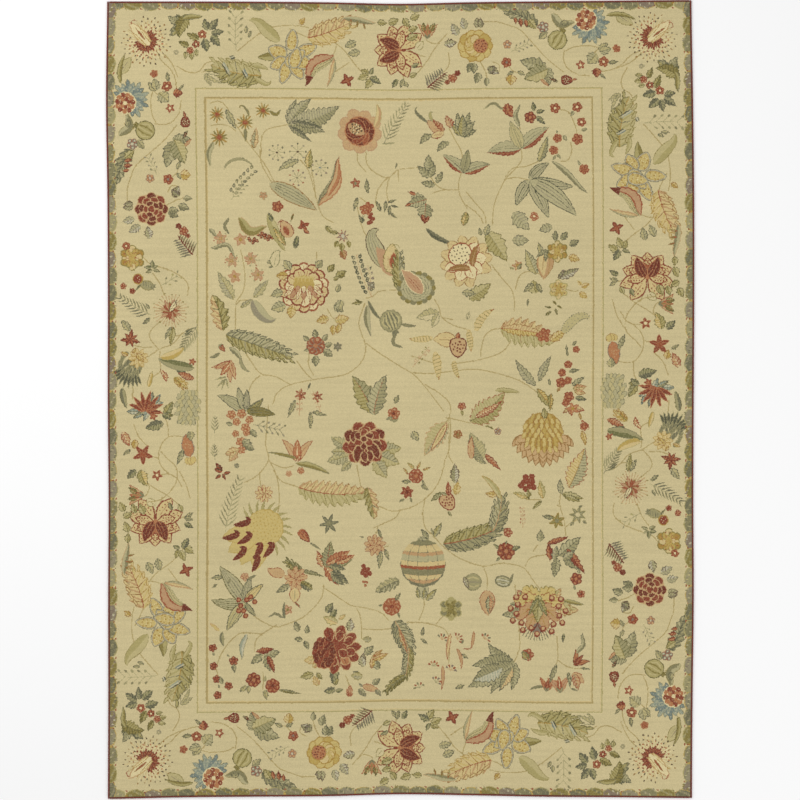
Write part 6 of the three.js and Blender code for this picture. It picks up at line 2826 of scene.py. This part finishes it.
@dataclass(frozen=True)
class KnottedWool:
    """Hand-spun wool, knot by knot. The eye gets the chart's colours, a grain of single knots, slightly
    uneven dye from row to row, and a soft nap that catches the light.

    Each tint says how much lighter the lightest place is than the darkest. Sizes are in millimetres on the
    pile, and twice as much on the back, whose knots are drawn twice as wide.
    """

    side: Side
    knot_tint: float = 0.2
    row_tint: float = 0.24
    cloud_tint: float = 0.12
    hank: float = 383.3
    row_streak: float = 14.375
    fleece: float = 6.9
    fleece_start: float = 0.47
    relief: float = 0.5
    relief_depth: float = 0.9

    def make(self) -> bpy.types.Material:
        """Makes the material.

        Returns:
            The material.
        """
        nap = 0.12 if self.side is Side.PILE else 0.04
        surface = {"Roughness": 0.95, "Specular IOR Level": 0.15, "Sheen Weight": nap, "Sheen Roughness": 0.6}
        material, tree, shader = new_material(f"wool_{self.side.value}", surface)
        yarn = add_node(tree, "ShaderNodeAttribute", {"attribute_name": "Yarn"}).outputs["Color"]
        knots = add_node(tree, "ShaderNodeAttribute", {"attribute_name": "Knots"}).outputs["Vector"]
        # One shade for each knot
        cell = add_node(tree, "ShaderNodeVectorMath", {"operation": "FLOOR"}, {0: knots}).outputs[0]
        single = add_node(tree, "ShaderNodeTexWhiteNoise", {"noise_dimensions": "3D"},
            {"Vector": cell}).outputs[0]
        noises = [single]
        # Streaks along the rows, where the dye of one hank ends and the next begins, then slow clouds of wear
        for high, detail in ((self.row_streak, 4.0), (self.hank, 2.0)):
            scale = (KNOT_MM / self.hank, KNOT_MM / high, 0)
            place = add_node(tree, "ShaderNodeVectorMath", {"operation": "MULTIPLY"},
                {0: knots, 1: scale}).outputs[0]
            inputs = {"Vector": place, "Scale": 1.0, "Detail": detail}
            noises.append(add_node(tree, "ShaderNodeTexNoise", {}, inputs).outputs[0])
        tints = (self.knot_tint, self.row_tint, self.cloud_tint)
        shade = 1 - sum(tints) / 2
        for noise, tint in zip(noises, tints):
            inputs = {0: noise, 1: tint, 2: shade}
            shade = add_node(tree, "ShaderNodeMath", {"operation": "MULTIPLY_ADD"}, inputs).outputs[0]
        # Hand-spun yarns are blended: paler and darker fibre comes and goes every few knots
        inputs = {"Vector": knots, "Scale": KNOT_MM / self.fleece, "Detail": 2.0}
        fleece = add_node(tree, "ShaderNodeTexNoise", {}, inputs).outputs[0]
        blend = add_node(tree, "ShaderNodeMath", {"operation": "SUBTRACT"},
            {0: fleece, 1: self.fleece_start}).outputs[0]
        inputs = {"Factor": blend, 6: yarn, 7: linear(YARNS["cream"])}
        mixed = add_node(tree, "ShaderNodeMix", {"data_type": "RGBA"}, inputs).outputs[2]
        tinted = add_node(tree, "ShaderNodeVectorMath", {"operation": "SCALE"},
            {0: mixed, "Scale": shade}).outputs[0]
        inputs = {
            "Strength": self.relief, "Distance": self.relief_depth * MM,
            "Height": self.knot_height(tree, knots, single)
        }
        bump = add_node(tree, "ShaderNodeBump", {}, inputs).outputs[0]
        tree.links.new(tinted, shader.inputs["Base Color"])
        tree.links.new(bump, shader.inputs["Normal"])
        return material

    def knot_height(
        self, tree: bpy.types.NodeTree, knots: bpy.types.NodeSocket, single: bpy.types.NodeSocket
    ) -> bpy.types.NodeSocket:
        """The relief of the knots: round tufts of uneven height, or on the back twin loops between wefts.

        Args:
            tree: the material's nodes.
            knots: the place in knots.
            single: a value for each knot.

        Returns:
            The height.
        """
        split = add_node(tree, "ShaderNodeSeparateXYZ", {}, {0: knots})
        waves = []
        for number, loops in enumerate((1 if self.side is Side.PILE else 2, 1)):
            wave = split.outputs[number]
            for operation, value in (("MULTIPLY", math.pi * loops), ("SINE", 0.0), ("ABSOLUTE", 0.0)):
                wave = add_node(tree, "ShaderNodeMath", {"operation": operation},
                    {0: wave, 1: value}).outputs[0]
            waves.append(wave)
        height = waves[0]
        # A knot's own tuft gives 0.6 of the relief, and its uneven clipping 0.4
        for operation, value in (("MULTIPLY", waves[1]), ("POWER", 0.5), ("MULTIPLY", 0.6)):
            height = add_node(tree, "ShaderNodeMath", {"operation": operation},
                {0: height, 1: value}).outputs[0]
        return add_node(tree, "ShaderNodeMath", {"operation": "MULTIPLY_ADD"},
            {0: single, 1: 0.4, 2: height}).outputs[0]


@dataclass(frozen=True)
class OvercastWool:
    """Dark red wool wound round the edge, wrap beside wrap, each turn catching a little light, with shade
    painted into the colour where each turn sinks in beside the next.
    """

    colour: str = "#6E2F27"
    worn: str = "#8A5042"
    # The painted shade in the crease where one turn sinks in beside the next
    painted_crease_shade: str = "#4A1D19"
    relief: float = 0.5
    relief_depth: float = 0.8

    def make(self) -> bpy.types.Material:
        """Makes the material.

        Returns:
            The material.
        """
        surface = {"Roughness": 0.9, "Specular IOR Level": 0.2, "Sheen Weight": 0.1}
        material, tree, shader = new_material("wool_overcast", surface)
        turns = add_node(tree, "ShaderNodeAttribute", {"attribute_name": "Turns"}).outputs["Vector"]
        # Fresh and worn wool change about every 5.6 mm along the cord and 1.5 mm round it
        inputs = {0: turns, 1: (0.9, 3.0, 0)}
        place = add_node(tree, "ShaderNodeVectorMath", {"operation": "MULTIPLY"}, inputs).outputs[0]
        grain = add_node(tree, "ShaderNodeTexNoise", {},
            {"Vector": place, "Scale": 1.0, "Detail": 3.0}).outputs[0]
        inputs = {"Factor": grain, 6: linear(self.colour), 7: linear(self.worn)}
        wool = add_node(tree, "ShaderNodeMix", {"data_type": "RGBA"}, inputs).outputs[2]
        # Painted shade: each turn's colour darkens to the shade colour where it sinks in beside the next one
        crown = add_node(tree, "ShaderNodeSeparateXYZ", {}, {0: turns}).outputs[0]
        for operation, value in (("MULTIPLY", math.pi), ("SINE", 0.0), ("ABSOLUTE", 0.0), ("POWER", 0.6)):
            crown = add_node(tree, "ShaderNodeMath", {"operation": operation},
                {0: crown, 1: value}).outputs[0]
        inputs = {"Factor": crown, 6: linear(self.painted_crease_shade), 7: wool}
        colour = add_node(tree, "ShaderNodeMix", {"data_type": "RGBA"}, inputs).outputs[2]
        height = add_node(tree, "ShaderNodeMath", {"operation": "MULTIPLY_ADD"},
            {0: grain, 1: 0.5, 2: crown}).outputs[0]
        inputs = {"Strength": self.relief, "Distance": self.relief_depth * MM, "Height": height}
        bump = add_node(tree, "ShaderNodeBump", {}, inputs).outputs[0]
        tree.links.new(colour, shader.inputs["Base Color"])
        tree.links.new(bump, shader.inputs["Normal"])
        return material


@dataclass(frozen=True)
class CottonFoundation:
    """Unbleached cotton warp and weft, seen only in the thickness between pile and back."""

    colour: str = "#C9BC9A"
    # The painted shade in the gap between two wefts
    between: str = "#B5A684"
    weft: float = 2.3

    def make(self) -> bpy.types.Material:
        """Makes the material.

        Returns:
            The material.
        """
        material, tree, shader = new_material("cotton_foundation", {"Roughness": 0.95})
        place = add_node(tree, "ShaderNodeTexCoord").outputs["Object"]
        # One band for each weft, with shade painted into the gap between two wefts: the wave repeats 20 / 2
        # pi times in a unit of its scale
        inputs = {"Vector": place, "Scale": 2 * math.pi / (self.weft * MM) / 20}
        bands = add_node(tree, "ShaderNodeTexWave", {"bands_direction": "Y"}, inputs).outputs[1]
        inputs = {"Factor": bands, 6: linear(self.colour), 7: linear(self.between)}
        cotton = add_node(tree, "ShaderNodeMix", {"data_type": "RGBA"}, inputs).outputs[2]
        tree.links.new(cotton, shader.inputs["Base Color"])
        return material


@dataclass(frozen=True)
class StudioFloor:
    """A plain white studio floor."""

    colour: str = "#FFFFFF"

    def make(self) -> bpy.types.Material:
        """The material.

        Returns:
            The material.
        """
        material, _, shader = new_material("studio_floor", {"Roughness": 1.0, "Specular IOR Level": 0.0})
        shader.inputs["Base Color"].default_value = linear(self.colour)
        return material


# Pieces


def declare(piece: bpy.types.Object, node: str) -> None:
    """Hangs a piece under the rug's root, hides the part of the model that it stands for, and logs its face
    count.

    Args:
        piece: the piece.
        node: the part of the rug that it stands for.
    """
    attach(piece, "root")
    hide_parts(node)
    LOG.info("%s: %d faces", piece.name, len(piece.data.polygons))


@dataclass
class KnottedFace:
    """One face of the knotted cloth, made in long strips from the chart.

    Args:
        outline: the rug's outline.
        knots: one yarn number for each knot, row by row from the head.
        side: the pile or the back.
        strips: how many strips it is made in.
        folds: how many parts each strip's layout is folded into.
        hem: how many knots at each edge lie under the dark red wool.
        span: the longest side of a face in knots, so that faces follow the swells.
        back_lift: how high the back lies above the floor, in millimetres.
    """

    outline: RugOutline
    knots: np.ndarray
    side: Side
    strips: int
    folds: int
    hem: int
    span: int = 26
    back_lift: float = 0.15

    def blocks(self, first: int, last: int) -> np.ndarray:
        """Merges the knots of a strip into oblong blocks of one yarn.

        Args:
            first: the strip's first column.
            last: the column after its last.

        Returns:
            One row for each block: top row, row after the last, first column, column after the last, yarn.
        """
        rows, columns = self.knots.shape
        top, foot = self.hem, rows - self.hem
        part = rows / self.folds
        edge_lines = {top + 1, top + 2, foot - 1, foot - 2} | {round(part * k) for k in range(1, self.folds)}
        strip = self.knots[:, first:last]
        breaks = np.zeros(strip.shape, bool)
        breaks[:, 0] = True
        breaks[:, 1:] = strip[:, 1:] != strip[:, :-1]
        breaks[:, [k for k in range(last - first) if (first + k - self.hem) % self.span == 0]] = True
        for line in (self.hem + 1, self.hem + 2, columns - self.hem - 1, columns - self.hem - 2):
            if first < line < last:
                breaks[:, line - first] = True
        found: list[tuple[int, int, int, int, int]] = []
        open_blocks: dict[tuple[int, int, int], int] = {}
        for row in range(top, foot + 1):
            fresh: dict[tuple[int, int, int], int] = {}
            if row < foot:
                starts = np.flatnonzero(breaks[row])
                ends = np.append(starts[1:], last - first)
                fresh = dict.fromkeys(zip(starts.tolist(), ends.tolist(), strip[row, starts].tolist()), row)
            cut = row in edge_lines
            for key, start in open_blocks.items():
                if cut or key not in fresh or row - start >= self.span:
                    found.append((start, row, key[0] + first, key[1] + first, key[2]))
                else:
                    fresh[key] = start
            open_blocks = fresh
        return np.array(found, int)

    def strip(self, number: int, material: bpy.types.Material) -> bpy.types.Object:
        """Makes one strip, its layout and its colours.

        Args:
            number: which strip, from the left.
            material: its finish.

        Returns:
            The strip.
        """
        rows, columns = self.knots.shape
        bounds = np.linspace(self.hem, columns - self.hem, self.strips + 1).round().astype(int)
        first, last = int(bounds[number]), int(bounds[number + 1])
        top, foot, left, right, yarn = self.blocks(first, last).T
        corner_rows = np.stack([foot, foot, top, top], axis=1)
        corner_columns = np.stack([left, right, right, left], axis=1)
        if self.side is Side.BACK:
            corner_rows, corner_columns = corner_rows[:, ::-1], corner_columns[:, ::-1]
        keys, faces = np.unique(corner_rows * (columns + 1) + corner_columns, return_inverse=True)
        faces = faces.reshape(corner_rows.shape)
        row, column = keys // (columns + 1), keys % (columns + 1)
        across, along = column / columns, 1 - row / rows
        x, y = self.outline.place(across, along)
        if self.side is Side.PILE:
            z = self.outline.pile_height(across, along)
        else:
            z = np.full(len(keys), self.back_lift)
        piece = make_piece(f"{self.side.value}_strip_{number + 1}", np.stack([x, y, z], axis=1), faces,
            material)
        add_places(piece, "Knots", np.stack([column, row, np.zeros(len(keys))], axis=1))
        part = np.minimum(np.floor((top + foot) / 2 / rows * self.folds), self.folds - 1)[:, None]
        corner_across = (corner_columns - first) / (last - first)
        add_layout(piece, fold(corner_rows / rows, corner_across, part, self.folds))
        colours = np.array([linear(code) for code in YARNS.values()])
        add_colours(piece, np.repeat(colours[yarn], 4, axis=0))
        declare(piece, "knotted_cloth")
        return piece

    def make(self, material: bpy.types.Material) -> list[bpy.types.Object]:
        """Makes every strip."""
        return [self.strip(number, material) for number in range(self.strips)]


@dataclass
class FoundationCloth:
    """The body of the cloth between pile and back: a closed slab a little inside both.

    Args:
        outline: the rug's outline.
        inset: how far it lies in from the outer edge.
        under_pile: how far its top lies below the pile's.
        lift: how high it lies above the floor.
        columns: its steps across the rug.
        rows: its steps along the rug.
    """

    outline: RugOutline
    inset: float = EDGE_WIDTH + GAP
    under_pile: float = 0.5
    lift: float = 0.4
    columns: int = 56
    rows: int = 76

    def make(self, material: bpy.types.Material) -> bpy.types.Object:
        """Makes the slab.

        Args:
            material: its finish.

        Returns:
            The slab.
        """
        across = np.linspace(self.inset / RUG_WIDTH, 1 - self.inset / RUG_WIDTH, self.columns + 1)
        along = np.linspace(self.inset / RUG_LENGTH, 1 - self.inset / RUG_LENGTH, self.rows + 1)
        u, v = np.meshgrid(across, along)
        x, y = self.outline.place(u.ravel(), v.ravel())
        z = self.outline.pile_height(u.ravel(), v.ravel()) - self.under_pile
        count = len(x)
        points = np.concatenate([np.stack([x, y, z], axis=1),
            np.stack([x, y, np.full(count, self.lift)], axis=1)])
        wide = self.columns + 1
        number = np.arange(count).reshape(self.rows + 1, wide)
        a, b, c, d = number[:-1, :-1], number[:-1, 1:], number[1:, 1:], number[1:, :-1]
        upper = np.stack([a, b, c, d], axis=-1).reshape(-1, 4)
        rim = np.concatenate([number[0, :-1], number[:-1, -1], number[-1, :0:-1], number[:0:-1, 0]])
        following = np.roll(rim, -1)
        wall = np.stack([rim + count, following + count, following, rim], axis=1)
        faces = np.concatenate([upper, upper[:, ::-1] + count, wall])
        piece = make_piece("foundation_cloth", points, faces, material)
        declare(piece, "knotted_cloth")
        return piece


@dataclass
class OvercastEdge:
    """One dark red edge: wool wound round a cord, one turn beside the next.

    The turns are 5 mm apart, which is coarser than the real 2 to 3 mm, so that they show.

    Args:
        outline: the rug's outline.
        node: the edge that it stands for.
        nominal: its length in millimetres.
        along_side: whether it runs along a long side.
        far: whether it is the right side or the head.
        pitch: millimetres from one turn to the next.
        steps: how many steps of the mesh a turn takes.
        folds: how many parts its layout is folded into.
        ring: how many corners it has round the cord.
        dip: how far it sinks in between two turns, as a share of its radius.
        crease: how sharp that dip is: below 1 is sharper.
        square: how square its section is: below 1 is squarer.
    """

    outline: RugOutline
    node: str
    nominal: float
    along_side: bool
    far: bool
    pitch: float = 5.0
    steps: int = 3
    folds: int = 16
    ring: int = 8
    dip: float = 0.16
    crease: float = 0.6
    square: float = 0.8

    def place(self, station: np.ndarray, inward: np.ndarray) -> tuple[np.ndarray, np.ndarray]:
        """Places along the edge.

        Args:
            station: shares of the way along it.
            inward: how far in from its outer face.

        Returns:
            The x and y places in millimetres.
        """
        fixed = np.full_like(station, 1.0 if self.far else 0.0)
        way = -inward if self.far else inward
        if self.along_side:
            x, y = self.outline.place(fixed, station)
            return x + way, y
        x, y = self.outline.place(station, fixed)
        return x, y + way

    def make(self, material: bpy.types.Material) -> bpy.types.Object:
        """Makes the wound cord.

        Args:
            material: its finish.

        Returns:
            The cord.
        """
        trim = 0.0 if self.along_side else (EDGE_WIDTH + GAP) / RUG_WIDTH
        turns = round(self.nominal / self.pitch / self.folds) * self.folds
        count = turns * self.steps
        share = np.linspace(0, 1, count + 1)
        station, around = np.meshgrid(trim + share * (1 - 2 * trim), np.arange(self.ring) / self.ring,
            indexing="ij")
        angle = 2 * math.pi * around
        slant = around * 0.5
        wind = np.abs(np.sin(math.pi * (share[:, None] * turns + slant)))
        half_width, half_height = EDGE_WIDTH / 2, EDGE_TOP / 2
        closeness = np.clip(np.minimum(share, 1 - share) * self.nominal / half_height, 0.01, 1)
        dome = np.sqrt(1 - (1 - closeness) ** 2)
        grow = dome[:, None] * (1 - self.dip + self.dip * wind**self.crease)
        level, upright = (np.sign(w) * np.abs(w) ** self.square for w in (np.cos(angle), np.sin(angle)))
        inward = half_width - half_width * grow * level
        height = half_height + half_height * grow * upright
        x, y = self.place(station.ravel(), inward.ravel())
        points = np.stack([x, y, height.ravel()], axis=1)
        number = np.arange(points.shape[0]).reshape(count + 1, self.ring)
        after = np.roll(number, -1, axis=1)
        faces = np.stack([number[:-1], number[1:], after[1:], after[:-1]], axis=-1).reshape(-1, 4)
        row = np.arange(self.ring // 2 - 1)
        cap = np.stack([row, row + 1, self.ring - 2 - row, self.ring - 1 - row], axis=1)
        faces = np.concatenate([faces, number[0][cap], number[-1][cap[:, ::-1]]])
        if self.along_side != self.far:
            faces = faces[:, ::-1]
        piece = make_piece(self.node.replace("_", "-"), points, faces, material)
        places = np.stack([(share[:, None] * turns + slant).ravel(), around.ravel() * 6,
            np.zeros(points.shape[0])], axis=1)
        add_places(piece, "Turns", places)
        step = np.repeat(np.arange(count), self.ring)
        ring = np.tile(np.arange(self.ring), count)
        ends = np.stack([step, step + 1, step + 1, step], axis=1)
        sides = np.stack([ring, ring, ring + 1, ring + 1], axis=1)
        cap_depth = np.tile([0, 0, 0.2, 0.2], (len(cap), 1))
        ends = np.concatenate([ends, cap_depth, count - cap_depth[:, ::-1]])
        sides = np.concatenate([sides, cap, cap[:, ::-1]])
        step = np.concatenate([step, np.zeros(len(cap)), np.full(len(cap), count - 1)])
        if self.along_side != self.far:
            ends, sides = ends[:, ::-1], sides[:, ::-1]
        part = np.floor(step * self.folds / count)[:, None]
        add_layout(piece, fold(ends / count, sides / self.ring, part, self.folds, 0.002))
        declare(piece, self.node)
        return piece


@dataclass(frozen=True)
class Panel:
    """A soft light panel: where it hangs in metres, its power in watts and its side in metres."""

    name: str
    place: tuple[float, float, float]
    power: float
    side: float


@dataclass
class Studio:
    """The white floor, soft lights and the camera straight above the rug."""

    frame_width: float = 3680.0
    aside: float = -0.69
    ahead: float = -2.3
    lens: float = 100.0
    sensor: float = 36.0
    floor_size: float = 40.0
    floor_drop: float = 0.5
    sky: float = 0.63
    panels: tuple[Panel, ...] = (Panel("key", (-3.5, 3.0, 5.5), 165, 5.0),
        Panel("fill", (4.0, -3.0, 6.0), 125, 6.0))

    def make(self) -> None:
        """Makes the floor, the lights and the camera."""
        self.floor()
        self.lights()
        self.camera()

    def floor(self) -> None:
        """A plain floor just under the rug."""
        bpy.ops.mesh.primitive_plane_add(size=self.floor_size, location=(0, 0, -self.floor_drop * MM))
        floor = bpy.context.object
        floor.name = "floor"
        floor.data.materials.append(StudioFloor().make())

    def lights(self) -> None:
        """Even light from the sky and two wide panels."""
        world = bpy.data.worlds.new("studio")
        world.use_nodes = True
        background = next(node for node in world.node_tree.nodes if node.type == "BACKGROUND")
        background.inputs[0].default_value = (1, 1, 1, 1)
        background.inputs[1].default_value = self.sky
        bpy.context.scene.world = world
        for panel in self.panels:
            light = bpy.data.lights.new(panel.name, "AREA")
            light.energy = panel.power
            light.size = panel.side
            lamp = bpy.data.objects.new(panel.name, light)
            lamp.location = panel.place
            direction = -np.array(panel.place)
            pitch = math.atan2(math.hypot(direction[0], direction[1]), -direction[2])
            lamp.rotation_euler = (pitch, 0, math.atan2(-direction[0], direction[1]))
            bpy.context.scene.collection.objects.link(lamp)

    def camera(self) -> None:
        """A long lens straight above, which frames the rug as it is photographed."""
        data = bpy.data.cameras.new("camera")
        data.lens = self.lens
        data.sensor_width = self.sensor
        camera = bpy.data.objects.new("camera", data)
        distance = self.frame_width * MM * self.lens / self.sensor
        camera.location = (self.aside * MM, self.ahead * MM, distance)
        bpy.context.scene.collection.objects.link(camera)
        bpy.context.scene.camera = camera


def main() -> None:
    """Makes the rug piece by piece and sets it in the studio."""
    logging.basicConfig(level=logging.INFO, format="%(message)s", stream=sys.stdout)
    bpy.context.scene.view_settings.view_transform = "Standard"
    chart = draw_rug()
    outline = RugOutline()
    pile = KnottedFace(outline, chart.knots, Side.PILE, strips=8, folds=3, hem=4)
    back = KnottedFace(outline, chart.knots[::KNOTS, ::KNOTS], Side.BACK, strips=4, folds=2, hem=2, span=14)
    pieces = pile.make(KnottedWool(Side.PILE).make()) + back.make(KnottedWool(Side.BACK).make())
    overcast = OvercastWool().make()
    for node, nominal, along_side, far in (
        ("side_cord_left", RUG_LENGTH, True, False),
        ("side_cord_right", RUG_LENGTH, True, True),
        ("end_binding_foot", RUG_WIDTH, False, False),
        ("end_binding_head", RUG_WIDTH, False, True),
    ):
        pieces.append(OvercastEdge(outline, node, nominal, along_side, far).make(overcast))
    cloth = FoundationCloth(outline).make(CottonFoundation().make())
    Studio().make()


if __name__ == "__main__":
    main()
